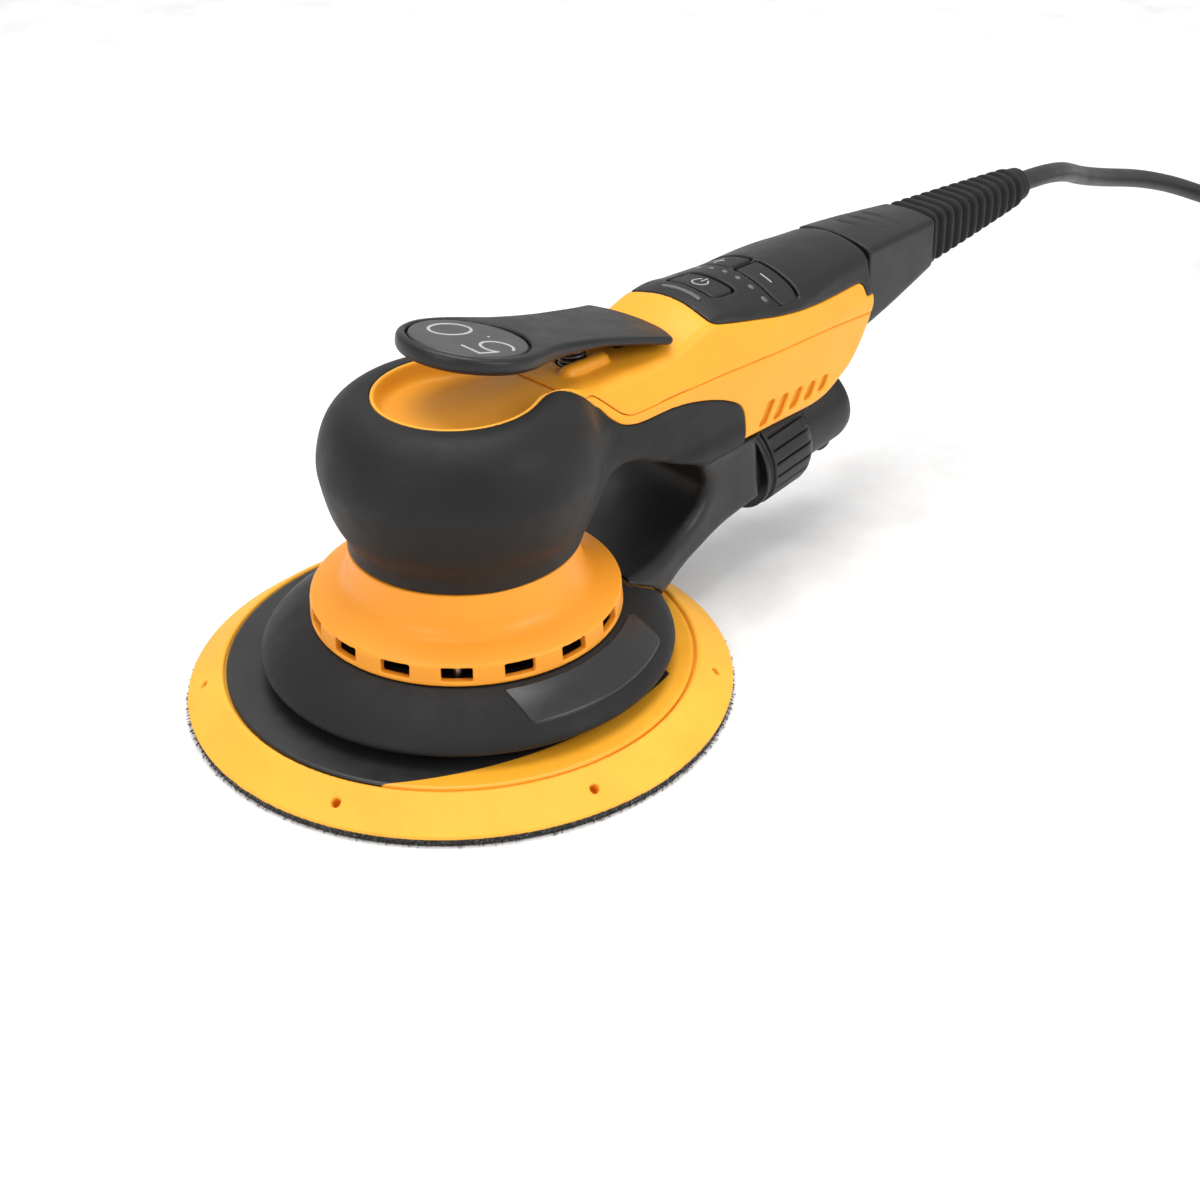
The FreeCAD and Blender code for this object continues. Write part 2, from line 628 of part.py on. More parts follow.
def make_vent_ring():
    blank = turned("vent_ring_blank", [
        ("ring_radius - ring_wall", "ring_floor"),
        ("ring_radius - 0.6", "ring_floor"),
        ("ring_radius", "ring_floor + 0.6", "0.6", "left"),
        ("ring_radius", "ring_shoulder"),
        ("ring_radius - 1.2", "ring_shoulder + 1.2", "1.2", "left"),
        ("ring_top_radius", "ring_top", "14", "right"),
        ("ring_top_radius - ring_wall", "ring_top"),
        ("ring_radius - ring_wall - 1", "ring_shoulder", "14", "left"),
        ("ring_radius - ring_wall", "ring_shoulder"),
    ])
    bosses = [
        cylinder(f"ring_boss_{index}", "2.6", "7", x, y, "ring_floor")
        for index, x, y, _ in around(SHROUD_SCREWS, "shroud_screw_circle", 45.0)
    ]
    blank = fuse("vent_ring_bossed", [blank] + bosses)
    slots = []
    vents = int(value("vent_count"))
    for index, x, y, angle in around(vents, "ring_radius", 180 / vents):
        slot = doc.addObject("Part::Box", f"vent_slot_{index}")
        bind(slot, Length="6", Width="vent_width", Height="vent_height")
        turn = FreeCAD.Rotation(FreeCAD.Vector(0, 0, 1), angle)
        slot.Placement = FreeCAD.Placement(FreeCAD.Vector(), turn)
        back = f"3.2 * cos({angle}deg) - vent_width / 2 * sin({angle}deg)"
        side = f"3.2 * sin({angle}deg) + vent_width / 2 * cos({angle}deg)"
        move(slot, f"{x} - ({back})", f"{y} - ({side})", "ring_floor + 1.2")
        slots.append(slot)
    tools = group("vent_ring_tools", slots + shroud_screw_tools("ring_bore", "1.3"))
    sub_part(cut("vent_ring_cut", blank, tools), "vent_ring")

    screws = []
    for index, x, y, _ in around(SHROUD_SCREWS, "shroud_screw_circle", 45.0):
        head = cylinder(f"shroud_screw_head_{index}", "2.4", "1.6", x, y, "18.7")
        shank = cylinder(f"shroud_screw_shank_{index}", "1.2", "11", x, y, "20.2")
        screws.append(fuse(f"shroud_screw_{index}", [head, shank]))
    sub_part(group("shroud_screw_set", screws), "shroud_screws")


# ---------------------------------------------------------------- head and handle

def handle_section(station, inset):
    """The handle's outline at one station, moved inwards by an inset."""
    size = {column: f"{station}_{column}" for column in STATION_COLUMNS}
    half = [
        (f"{size['edge_width']} * 0.55 - {inset} * 0.5", f"{size['crown']} - 0.4 - {inset}"),
        (f"{size['edge_width']} - {inset}", f"{size['edge_height']} - {inset} * 0.8"),
        (f"{size['seam_width']} - {inset}", "seam_height"),
        (f"{size['low_width']} - {inset}", f"{size['underside']} + 4.5 + {inset} * 0.5"),
        (f"{size['low_width']} * 0.6 - {inset} * 0.5", f"{size['underside']} + {inset}"),
    ]
    return mirrored_outline(half)


def handle_solid(name, inset, first="core", place_shift="0"):
    """The whole handle, moved inwards by an inset, from a station to the tail."""
    names = list(STATIONS)
    chosen = names[names.index(first):]
    sections = []
    for station in chosen:
        place = f"{station}_place"
        if station == "tail":
            place = f"{place} - ({place_shift})"
        sections.append((place, handle_section(station, inset)))
    return lofted(name, sections)


def head_solid(name, inset):
    """The round head, moved inwards by an inset, with no bowl."""
    return turned(name, [
        ("0", "head_floor"),
        (f"head_floor_radius - {inset}", "head_floor"),
        (f"head_floor_radius - {inset}", "51"),
        (f"34.6 - {inset}", "56.5", "9", "right"),
        (f"head_belly_radius - {inset}", "head_belly", "30", "left"),
        (f"rim_radius + 6 - {inset}", f"rim_top - 1.6 - {inset}", "17.5", "left"),
        (f"rim_radius - {inset} * 0.5", f"rim_top - {inset}", "10", "left"),
        ("0", f"rim_top - {inset}"),
    ])


def side_prism(name, corners):
    """A tool that spans the whole width, from an outline of (x, z) corners."""
    return padded(name, "XZ_Plane", corners, "120", symmetric=True)


def seam_line():
    """The side seam from the neck to the tail, as (x, z) corners."""
    return [
        ("41.5", "seam_height - 0.2"),
        ("handle_end - 26", "seam_height - 0.8"),
        ("handle_end + 2", "67.6"),
    ]


def make_handle(collar_channel):
    outside = fuse("outside", [head_solid("head_outside", "0"), handle_solid("handle_outside", "0")])
    carcass = fuse("carcass", [
        head_solid("head_carcass", "rubber"),
        handle_solid("handle_carcass", "rubber"),
    ])
    head_room = turned("head_room", [
        ("0", "40"),
        ("head_floor_radius - 3.9", "40"),
        ("head_floor_radius - 3.9", "52"),
        ("head_belly_radius - shell", "60"),
        ("head_belly_radius - shell", "76"),
        ("rim_radius - 2", "80.9"),
        ("0", "80.9"),
    ])
    handle_room = handle_solid("handle_room", "shell", place_shift="12")
    room = fuse("room", [head_room, handle_room])

    bowl = turned("bowl_tool", [
        ("0", "bowl_floor"),
        ("bowl_radius - 3", "bowl_floor"),
        ("bowl_radius", "bowl_floor + 3", "3", "left"),
        ("bowl_radius + 0.6", "rim_top + 1"),
        ("0", "rim_top + 1"),
    ])
    hinge_slot = block("hinge_slot", "11", "9.4", "10", x="hinge_x", z="hinge_z - 4")
    spring_well = cylinder("spring_well", "4.4", "6", "41", "0", "81.2")
    screw_bores = group("cover_screw_bores", cover_screw_tools("cover_bore", "1.7", "3.2"))
    socket_seat = block("socket_seat", "10.2", "18.2", "11.2", "144.6", "0", "71.1")
    pin_seat = cross_cylinder("pin_seat", "pin_radius + 0.02", "22.4")
    tools = group("housing_tools", [
        bowl, hinge_slot, spring_well, collar_channel, screw_bores, socket_seat, pin_seat,
    ])

    rubber_zone = side_prism("rubber_zone", [
        ("-50", "40"),
        ("91.2", "40"),
        ("91.2", "52"),
        ("87.6", "60"),
        ("78", "65"),
        ("62", "68.6"),
        ("46", "68.4"),
        ("40", "70"),
        ("32", "80"),
        ("24.5", "86"),
        ("22.5", "100"),
        ("-50", "100"),
    ])
    rim = cylinder("rim_keep", "rim_radius", "20", z="rim_top - 10")
    rubber_zone = cut("rubber_zone_open", rubber_zone, rim)
    grip = cut("grip", common("grip_zone", outside, rubber_zone), carcass)
    sub_part(cut("grip_finished", grip, tools), "head_grip")

    frame = cut("frame", cut("frame_blank", cut("frame_outside", outside, grip), room), tools)
    panel_zone = side_prism("panel_zone", [
        ("panel_front", "86.6"),
        ("panel_front", "100"),
        ("handle_end + 5", "100"),
        ("handle_end + 5", "79"),
        ("120", "80"),
    ])
    seam = seam_line()
    cover_zone = side_prism("cover_zone", [("31", "100"), ("31", "85")] + seam + [("handle_end + 5", "100")])
    cover = cut("cover_blank", common("cover_whole", frame, cover_zone), panel_zone)
    sub_part(cover, "handle_cover")
    sub_part(cut("tub", cut("tub_blank", frame, cover_zone), panel_zone), "main_housing")
    panel = common("panel_blank", frame, panel_zone)
    make_panel(panel)

    screws = []
    for index, (x, y) in enumerate(cover_screw_places()):
        head = cylinder(f"cover_screw_head_{index}", "3", "2", x, y, "52.2")
        shank = cylinder(f"cover_screw_shank_{index}", "1.5", "14", x, y, "54.1")
        screws.append(fuse(f"cover_screw_{index}", [head, shank]))
    sub_part(group("cover_screw_set", screws), "cover_screws")


def cover_screw_places():
    return [("129", "9"), ("129", "-9"), ("66", "8"), ("66", "-8")]


def cover_screw_tools(name, radius, head_radius):
    """Bores for the screws that come up through the handle's underside."""
    tools = []
    for index, (x, y) in enumerate(cover_screw_places()):
        tools.append(cylinder(f"{name}_shank_{index}", radius, "14", x, y, "40"))
        tools.append(cylinder(f"{name}_head_{index}", head_radius, "14.5", x, y, "40"))
    return tools


# ---------------------------------------------------------------- control panel and keys

# Each key: its front and rear end along X, and its two sides along Y.
KEYS = {
    "power_key": (87.0, 95.6, -8.8, 8.8),
    "plus_key": (104.8, 113.8, 0.9, 18.9),
    "minus_key": (104.8, 113.8, -18.9, -0.9),
}


def key_prism(name, node, gap, height="30"):
    """An upright prism over a key's place, grown by a gap on every side."""
    front, rear, low, high = KEYS[node]
    length = f"{rear - front} + 2 * ({gap})"
    width = f"{high - low} + 2 * ({gap})"
    return block(name, length, width, height, str((front + rear) / 2), f"{(low + high) / 2}", "70")


def make_panel(panel):
    skin_high = handle_solid("skin_high", "-key_proud", first="front")
    skin_low = handle_solid("skin_low", "key_thickness", first="front")
    skin = cut("key_skin", skin_high, skin_low)
    pockets = []
    for node in KEYS:
        prism = key_prism(f"{node}_prism", node, "0")
        upper = block(f"{node}_upper", "60", "60", "30", "100", "0", "83.5")
        sub_part(common(node + "_cut", common(node + "_skin", skin, prism), upper), node)
        pockets.append(key_prism(f"{node}_pocket", node, "key_gap"))

    bar_tool = block("light_bar_tool", "1.6", "14", "30", "83", "0", "75")
    lights = [
        cylinder(f"led_tool_{index}", "0.7", "30", "101.4", f"{(index - 3) * 5.4}", "75")
        for index in range(7)
    ]
    light_tools = group("led_tools", lights)
    sub_part(common("light_bar_cut", panel, bar_tool), "light_bar")
    sub_part(common("led_cut", panel, light_tools), "speed_leds")
    tools = group("panel_tools", pockets + [bar_tool, light_tools])
    sub_part(cut("panel", panel, tools), "control_panel")


def make_electronics():
    board = block("board", "46", "23", "1.6", "101", "0", "62")
    sub_part(board, "main_pcb")
    cans = []
    for index, place in enumerate(("85", "97")):
        cans.append(cylinder(f"capacitor_{index}", "5", "13", place, "0", "63.7"))
    sub_part(group("capacitor_set", cans), "capacitors")
    fins = [block("heat_sink_base", "16", "20", "2", "114", "0", "63.7")]
    for index in range(5):
        fins.append(block(f"heat_sink_fin_{index}", "16", "1.2", "7", "114", f"{(index - 2) * 4.5}", "65.5"))
    sub_part(fuse("heat_sink_fused", fins), "heat_sink")
    keypad = block("keypad_board", "30", "24", "1.4", "100", "0", "80.4")
    sub_part(keypad, "keypad_pcb")
    domes = []
    for index, (x, y) in enumerate((("91.3", "0"), ("109.3", "8.5"), ("109.3", "-8.5"))):
        dome = doc.addObject("Part::Cone", f"dome_{index}")
        bind(dome, Radius1="3", Radius2="1.6", Height="1.2")
        move(dome, x, y, "81.9")
        domes.append(dome)
    sub_part(group("dome_set", domes), "key_domes")
    sub_part(block("sensor", "4", "3", "1.5", "33", "0", "76"), "hall_sensor")


# ---------------------------------------------------------------- lever

def cross_cylinder(name, radius, length):
    """A cylinder along Y, centred on the lever's hinge."""
    thing = doc.addObject("Part::Cylinder", name)
    bind(thing, Radius=radius, Height=length)
    thing.Placement = FreeCAD.Placement(FreeCAD.Vector(), FreeCAD.Rotation(FreeCAD.Vector(1, 0, 0), 90))
    move(thing, "hinge_x", f"({length}) / 2", "hinge_z")
    return thing


def make_lever():
    reach, tail, waist = "lever_reach", "lever_tail", "lever_waist"
    plate = padded("lever_plate", "XY_Plane", [
        ("0", "lever_head_radius"),
        ("0", "-lever_head_radius", "lever_head_radius + 0.01", "left"),
        ("18", "-(lever_head_radius - 3.4)"),
        ("38", f"-{waist} - 0.4"),
        (reach + " - 2", "-" + tail, "60", "right"),
        (reach + " - 2", tail, "70", "left"),
        ("38", f"{waist} + 0.4", "60", "right"),
        ("18", "lever_head_radius - 3.4"),
    ], "lever_thickness", offset="-lever_thickness")
    rim = cylinder("lever_rim", "lever_head_radius - 0.1", "2.2", z="-lever_thickness - 2")
    ears = block("lever_ear", "7", "8", "7.8", "59.1", "0", "-10.4")
    recess = cylinder("lever_recess", "disc_radius + 0.1", "2", z="-1")
    lever = cut("lever_recessed", fuse("lever_fused", [plate, rim, ears]), recess)
    tilt(lever, "lever_tilt")
    move(lever, "lever_head_x", "0", "lever_head_z")
    pin_bore = cross_cylinder("lever_pin_bore", "pin_radius + 0.08", "20")
    sub_part(cut("lever_bored", lever, pin_bore), "lever")

    disc = cylinder("disc", "disc_radius", "0.8", z="-0.9")
    tilt(disc, "lever_tilt")
    move(disc, "lever_head_x", "0", "lever_head_z")
    inlay = group("disc_placed", [disc])
    sub_part(inlay, "lever_inlay")

    magnet = cylinder("magnet", "2", "2", "28 + lever_head_x", "0", "lever_head_z - 12.2")
    sub_part(magnet, "lever_magnet")

    sub_part(cross_cylinder("pin", "pin_radius", "22"), "lever_pin")


def make_lever_spring():
    """The lever's return spring, a wire on a helix between the neck and the lever."""
    radius, wire, turns = 3.4, 0.45, 5
    floor, height = 81.8, 6.6
    helix = Part.makeHelix(height / turns, height, radius)
    start = FreeCAD.Vector(radius, 0, 0)
    section = Part.Wire(Part.makeCircle(wire, start, FreeCAD.Vector(0, 1, 0)))
    coil = Part.Wire(helix).makePipeShell([section], True, True)
    spring = doc.addObject("Part::Feature", "spring")
    spring.Shape = coil
    spring.Placement = FreeCAD.Placement(FreeCAD.Vector(41, 0, floor), FreeCAD.Rotation())
    sub_part(spring, "lever_spring")


# ---------------------------------------------------------------- exhaust

def duct_section(half_width, floor, top, wall="0"):
    """An arched section: flat below, rounded off above."""
    half = [
        (f"{half_width} * 0.5 - {wall} * 0.5", f"{top} - {wall}"),
        (f"{half_width} * 0.9 - {wall}", f"{top} - ({top} - {floor}) * 0.3 - {wall} * 0.5"),
        (f"{half_width} - {wall}", f"{floor} + ({top} - {floor}) * 0.25"),
        (f"{half_width} * 0.85 - {wall} * 0.7", f"{floor} + {wall}"),
    ]
    return mirrored_outline(half)


def duct_solid(name, wall):
    stations = [
        ("37", "24", "13.2", "25.5"),
        ("52", "23", "13.8", "27"),
        ("62", "21", "15.6", "28"),
        ("74", "19", "18.4", "31"),
        ("80", "18", "19.8", "45.3"),
        ("92", "17", "21.6", "45.3"),
        ("101.2", "16.2", "22.8", "45.3"),
    ]
    if wall != "0":
        stations[-1] = ("99", "16.2", "22.5", "45.3")
    return lofted(name, [(place, duct_section(*sizes, wall)) for place, *sizes in stations])


def hose_frame(thing, along="0"):
    """Lays a piece that was made about Z along the hose fitting's slanted axis."""
    turn = FreeCAD.Rotation(FreeCAD.Vector(0, 1, 0), 90 - value("hose_tilt"))
    thing.Placement = FreeCAD.Placement(FreeCAD.Vector(), turn)
    reach = f"({along})"
    move(thing, f"hose_x + {reach} * cos(hose_tilt * 1deg)", "0", f"hose_z + {reach} * sin(hose_tilt * 1deg)")
    return thing


def make_collar_channel():
    """The round hollow in the handle's underside that the hose collar sits in."""
    return hose_frame(cylinder("collar_channel", "collar_radius + 1", "60"), "-4")


def make_duct():
    bore = duct_solid("duct_bore", "duct_wall")
    keep_out = turned("duct_keep_out", [
        ("0", "10"),
        ("skirt_radius + 0.1", "10"),
        ("skirt_radius + 0.1", "skirt_floor + 1.6"),
        *skirt_outline("-0.1")[2:],
        ("ring_radius + 0.6", "skirt_top + 0.1"),
        ("ring_radius + 0.6", "60"),
        ("0", "60"),
    ])
    port = hose_frame(cylinder("duct_port", "hose_radius + 0.4", "12"), "-8")
    shell = cut("duct_shell", duct_solid("duct_outside", "0"), bore)
    sub_part(cut("duct", shell, group("duct_tools", [keep_out, port])), "exhaust_duct")
    return bore


def make_hose_fitting():
    tube = turned("tube", [
        ("hose_bore", "-5"),
        ("hose_radius", "-5"),
        ("hose_radius", "-1.6"),
        ("hose_radius - 1", "-1.6"),
        ("hose_radius - 1", "0.4"),
        ("hose_radius", "0.4"),
        ("hose_radius", "hose_length"),
        ("hose_bore", "hose_length"),
    ])
    lobes = [
        block("hose_lobe_0", "3.4", "9", "6", "hose_radius + 0.9", "0", "26"),
        block("hose_lobe_1", "3.4", "9", "8", "hose_radius + 0.9", "0", "35.2"),
    ]
    bore = cylinder("hose_bore_tool", "hose_bore", "80", z="-20")
    tube = cut("hose_tube_cut", fuse("hose_tube_lobed", [tube] + lobes), bore)
    sub_part(hose_frame(tube), "hose_tube")

    ribs = [turned("collar_blank", [
        ("hose_radius + 0.05", "0.6"),
        ("collar_radius", "0.6"),
        ("collar_radius", "2.4"),
        ("collar_radius - 0.9", "2.8"),
        ("collar_radius - 0.9", "collar_length - 1.4"),
        ("collar_radius - 2", "collar_length"),
        ("hose_radius + 0.05", "collar_length"),
    ])]
    for index, x, y, angle in around(int(value("collar_ribs")), "collar_radius - 0.9"):
        rib = doc.addObject("Part::Box", f"collar_rib_{index}")
        bind(rib, Length="1.7", Width="2.4", Height="collar_length - 4.6")
        turn = FreeCAD.Rotation(FreeCAD.Vector(0, 0, 1), angle)
        rib.Placement = FreeCAD.Placement(FreeCAD.Vector(), turn)
        back = turn.multVec(FreeCAD.Vector(0.9, 1.2, 0))
        move(rib, f"{x} - ({back.x:.4f})", f"{y} - ({back.y:.4f})", "2.6")
        ribs.append(rib)
    sub_part(hose_frame(fuse("collar", ribs)), "hose_collar")

    seal = doc.addObject("Part::Torus", "o_ring")
    bind(seal, Radius1="hose_radius - 0.05", Radius2="0.85")
    band = ring("o_ring_band", "hose_radius + 0.35", "hose_radius - 0.95", "1.7", "-1.45")
    move(seal, "0", "0", "-0.6")
    sub_part(hose_frame(common("seal_cut", seal, group("seal_band", [band]))), "hose_o_ring")


# ---------------------------------------------------------------- mains lead

def connector_section(half_width, floor, top):
    half = [
        (f"{half_width} * 0.6", top),
        (half_width, f"{top} - 2.4"),
        (f"{half_width} + 0.6", f"({top} + {floor}) / 2"),
        (f"{half_width} * 0.8", floor),
    ]
    return mirrored_outline(half)


def make_mains_entry():
    socket = block("socket_blank", "9.6", "18", "11", "144.4", "0", "71.2")
    holes = []
    for index, y in enumerate(("-4", "4")):
        hole = cylinder(f"inlet_hole_{index}", "1.25", "8")
        hole.Placement = FreeCAD.Placement(FreeCAD.Vector(), FreeCAD.Rotation(FreeCAD.Vector(0, 1, 0), 90))
        move(hole, "141.3", y, "76.7")
        holes.append(hole)
    sub_part(cut("socket", socket, group("inlet_holes", holes)), "inlet_socket")

    stations = [
        ("handle_end + 0.2", "13.8", "66.5", "87.4"),
        ("160", "13", "66.6", "87.6"),
        ("172", "11.6", "68.2", "87"),
        ("connector_end", "10", "69.6", "85.8"),
    ]
    body = lofted("connector_blank", [(place, connector_section(*sizes)) for place, *sizes in stations])
    grooves = [
        block(f"grip_groove_{index}", "1.4", f"{18 - index}", "2", str(159 + 6.3 * index), "0", "86.6")
        for index in range(3)
    ]
    sub_part(cut("connector", body, group("grip_grooves", grooves)), "mains_connector")

    pins = []
    for index, y in enumerate(("-4", "4")):
        pin = cylinder(f"contact_pin_{index}", "1.2", "6.6")
        pin.Placement = FreeCAD.Placement(FreeCAD.Vector(), FreeCAD.Rotation(FreeCAD.Vector(0, 1, 0), 90))
        move(pin, "142.8", y, "76.7")
        pins.append(pin)
    sub_part(group("contact_pin_set", pins), "contact_pins")


def make_strain_relief():
    """A tapered sleeve with ribs, on an axis that rises slightly towards its tip."""
    start, end = value("connector_end") + 0.3, value("relief_end")
    length = end - start
    count = int(value("relief_ribs"))
    pitch = (length - 6) / count
    outline = [("0", "0"), ("8.8", "0")]
    for index in range(count):
        taper = 9.2 - 3.6 * index / count
        low = index * pitch
        outline.append((f"{taper}", f"{low + pitch * 0.08 + 0.2}"))
        outline.append((f"{taper - 0.2}", f"{low + pitch * 0.62}"))
        outline.append((f"{taper - 2}", f"{low + pitch * 0.68}"))
        outline.append((f"{taper - 2}", f"{low + pitch}"))
    outline += [("5.2", f"{length - 5.6}"), ("5.0", f"{length}"), ("0", f"{length}")]
    sleeve = turned("relief", outline)
    rise = math.atan2(78.4 - 77.2, length)
    turn = FreeCAD.Rotation(FreeCAD.Vector(0, 1, 0), 90 - math.degrees(rise))
    sleeve.Placement = FreeCAD.Placement(FreeCAD.Vector(start, 0, 77.2), turn)
    sub_part(sleeve, "strain_relief")


def rounded_route(points, name):
    """A wire of straight runs joined by arcs as large as their runs allow."""
    nodes = [FreeCAD.Vector(*point) for point in points]
    edges = []
    here = nodes[0]
    for before, corner, after in zip(nodes, nodes[1:], nodes[2:]):
        arriving = (corner - before).normalize()
        leaving = (after - corner).normalize()
        turn = arriving.getAngle(leaving)
        shorter = min((corner - before).Length, (after - corner).Length)
        tangent = 0.45 * shorter
        radius = tangent / math.tan(turn / 2)
        print(f"{name}: bend radius {radius:.1f}, turn {math.degrees(turn):.0f} degrees")
        first = corner - arriving * tangent
        last = corner + leaving * tangent
        inward = (leaving - arriving).normalize()
        middle = corner + inward * (radius / math.cos(turn / 2) - radius)
        edges.append(Part.LineSegment(here, first).toShape())
        edges.append(Part.Arc(first, middle, last).toShape())
        here = last
    edges.append(Part.LineSegment(here, nodes[-1]).toShape())
    return Part.Wire(edges)


def make_cord():
    radius = value("cord_radius")
    route = rounded_route(CORD_ROUTE, "mains_cord")
    start = FreeCAD.Vector(*CORD_ROUTE[0])
    heading = FreeCAD.Vector(*CORD_ROUTE[1]) - start
    section = Part.Wire(Part.makeCircle(radius, start, heading))
    tube = route.makePipeShell([section], True, True)
    ideal = math.pi * radius ** 2 * route.Length
    print(f"mains_cord: length {route.Length:.1f}, volume {tube.Volume:.0f}, section x length {ideal:.0f}")
    cord = doc.addObject("Part::Feature", "cord")
    cord.Shape = tube
    sub_part(cord, "mains_cord")

    half = "coil_width / 2"
    height = "coil_height"
    blank = turned("coil_blank", [
        (f"coil_mean_radius - {half} + 5", "0"),
        (f"coil_mean_radius + {half} - 5", "0"),
        (f"coil_mean_radius + {half}", "5"),
        (f"coil_mean_radius + {half}", f"{height} - 8"),
        (f"coil_mean_radius + {half} - 8", height),
        (f"coil_mean_radius - {half} + 8", height),
        (f"coil_mean_radius - {half}", f"{height} - 8"),
        (f"coil_mean_radius - {half}", "5"),
    ])
    outer = block("tie_outer", "6", "coil_width + 0.6", "coil_height + 0.4", "0", "coil_mean_radius", "0.1")
    inner = block("tie_inner", "8", "coil_width - 2", "coil_height - 2", "0", "coil_mean_radius", "1.2")
    tie = cut("tie", outer, inner)
    move(sub_part(tie, "cord_tie"), "coil_x", "coil_y")
    coil = cut("coil", blank, group("tie_clearance", [cut("tie_frame", block(
        "tie_frame_outer", "6.2", "coil_width + 2", "coil_height + 2", "0", "coil_mean_radius", "-1"),
        block("tie_frame_inner", "8", "coil_width - 2.1", "coil_height - 2.1", "0", "coil_mean_radius",
              "1.25"))]))
    move(sub_part(coil, "cord_coil"), "coil_x", "coil_y")


PLUG_TURN = 200      # degrees, from the handle's direction to the plug's pins


def make_mains_plug():
    """A two-pin mains plug lying on the coil."""
    top = value("coil_height") + 0.2
    place = FreeCAD.Vector(value("coil_x") - 2.9, value("coil_y") - 25.2, top)
    turn = FreeCAD.Rotation(FreeCAD.Vector(0, 0, 1), PLUG_TURN)
    body = lofted("plug_blank", [
        ("-20", connector_section("4.6", "3.2", "13.2")),
        ("-14", connector_section("5.4", "2.2", "14.2")),
        ("-7", connector_section("14.4", "0", "16.6")),
        ("13", connector_section("15.6", "0", "16.6")),
        ("16", connector_section("14.6", "1", "15.6")),
    ])
    body.Placement = FreeCAD.Placement(place, turn)
    sub_part(body, "mains_plug")
    pins = []
    for index, y in enumerate((-9.5, 9.5)):
        pin = cylinder(f"plug_pin_{index}", "2.4", "19")
        lay = turn.multiply(FreeCAD.Rotation(FreeCAD.Vector(0, 1, 0), 90))
        foot = place + turn.multVec(FreeCAD.Vector(16.1, y, 8.3))
        pin.Placement = FreeCAD.Placement(foot, lay)
        move(pin, f"{foot.x:.4f}", f"{foot.y:.4f}", f"{foot.z:.4f}")
        pins.append(pin)
    sub_part(group("plug_pin_set", pins), "plug_pins")


# ---------------------------------------------------------------- build, check and write

def check_document():
    """Stops on any failed object, and on any sub-part that isn't a sound solid."""
    doc.recompute()
    failed = [thing.Label for thing in doc.Objects if {"Invalid", "Error"} & set(thing.State)]
    if failed:
        raise RuntimeError(f"these objects failed: {failed}")
    labels = [piece.Label for piece in sub_parts]
    if len(set(labels)) != len(labels):
        raise RuntimeError("two sub-parts share a name")
    for piece in sub_parts:
        shape = piece.Shape
        if shape.isNull() or not shape.isValid() or not shape.Solids:
            raise RuntimeError(f"{piece.Label} has no sound solid")
        print(f"{piece.Label:18s} {len(shape.Solids):3d} solids {shape.Volume / 1000:9.2f} cm3")


def write_parts():
    os.makedirs("parts", exist_ok=True)
    for piece in sub_parts:
        piece.Shape.exportStep(f"parts/{piece.Label}.step")


def main():
    make_pad()
    make_rotor()
    make_motor()
    duct_bore = make_duct()
    make_skirt(duct_bore)
    make_vent_ring()
    make_handle(make_collar_channel())
    make_electronics()
    make_lever()
    make_lever_spring()
    make_hose_fitting()
    make_mains_entry()
    make_strain_relief()
    make_cord()
    make_mains_plug()
    check_document()
    write_parts()


main()
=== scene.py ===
"""The looks of a 150 mm random orbital sander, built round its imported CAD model.

Shapes are worked out in millimetres as signed distance fields: a field is negative inside a piece and
grows by 1 for each millimetre away from its surface. `piece` turns a field into a mesh, in metres.
Row frame: +X runs along the handle towards the cable, +Z is up, the pad's face is z = 0.
"""
import json
import math
import random

import bpy
import numpy as np
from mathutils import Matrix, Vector

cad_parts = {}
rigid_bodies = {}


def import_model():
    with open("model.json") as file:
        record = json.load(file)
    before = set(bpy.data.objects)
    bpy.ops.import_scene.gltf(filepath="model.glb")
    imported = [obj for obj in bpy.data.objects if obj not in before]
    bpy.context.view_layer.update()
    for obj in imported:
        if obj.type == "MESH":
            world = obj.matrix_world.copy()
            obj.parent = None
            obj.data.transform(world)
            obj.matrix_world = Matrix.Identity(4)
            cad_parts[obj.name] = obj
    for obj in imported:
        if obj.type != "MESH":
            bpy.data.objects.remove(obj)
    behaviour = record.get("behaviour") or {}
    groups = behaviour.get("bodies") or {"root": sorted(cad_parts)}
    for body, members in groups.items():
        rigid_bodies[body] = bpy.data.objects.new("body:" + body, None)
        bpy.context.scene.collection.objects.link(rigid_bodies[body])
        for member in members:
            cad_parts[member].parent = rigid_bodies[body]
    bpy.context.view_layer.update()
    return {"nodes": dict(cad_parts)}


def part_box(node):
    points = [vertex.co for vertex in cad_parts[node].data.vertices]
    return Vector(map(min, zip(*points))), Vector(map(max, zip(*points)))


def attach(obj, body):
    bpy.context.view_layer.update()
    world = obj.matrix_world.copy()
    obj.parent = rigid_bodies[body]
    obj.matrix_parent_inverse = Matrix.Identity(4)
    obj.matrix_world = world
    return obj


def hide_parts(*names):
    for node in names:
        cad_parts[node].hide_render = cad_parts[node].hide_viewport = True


for stray in list(bpy.data.objects):
    bpy.data.objects.remove(stray)
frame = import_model()
MM = 0.001


# ---------- camera, light and floor

def aim(thing, place, target):
    thing.location = place
    thing.rotation_euler = (Vector(target) - Vector(place)).to_track_quat("-Z", "Y").to_euler()


def make_camera():
    camera = bpy.data.objects.new("camera", bpy.data.cameras.new("camera"))
    bpy.context.scene.collection.objects.link(camera)
    place = Vector((-0.31325, -0.37332, 0.32194))
    forward = Vector((0.5953, 0.6114, -0.5215))
    aim(camera, place, place + forward)
    roll = 0.0146
    camera.rotation_euler.rotate_axis("Z", -roll)
    camera.data.lens = 63
    camera.data.sensor_width = 36
    camera.data.clip_start = 0.01
    bpy.context.scene.camera = camera


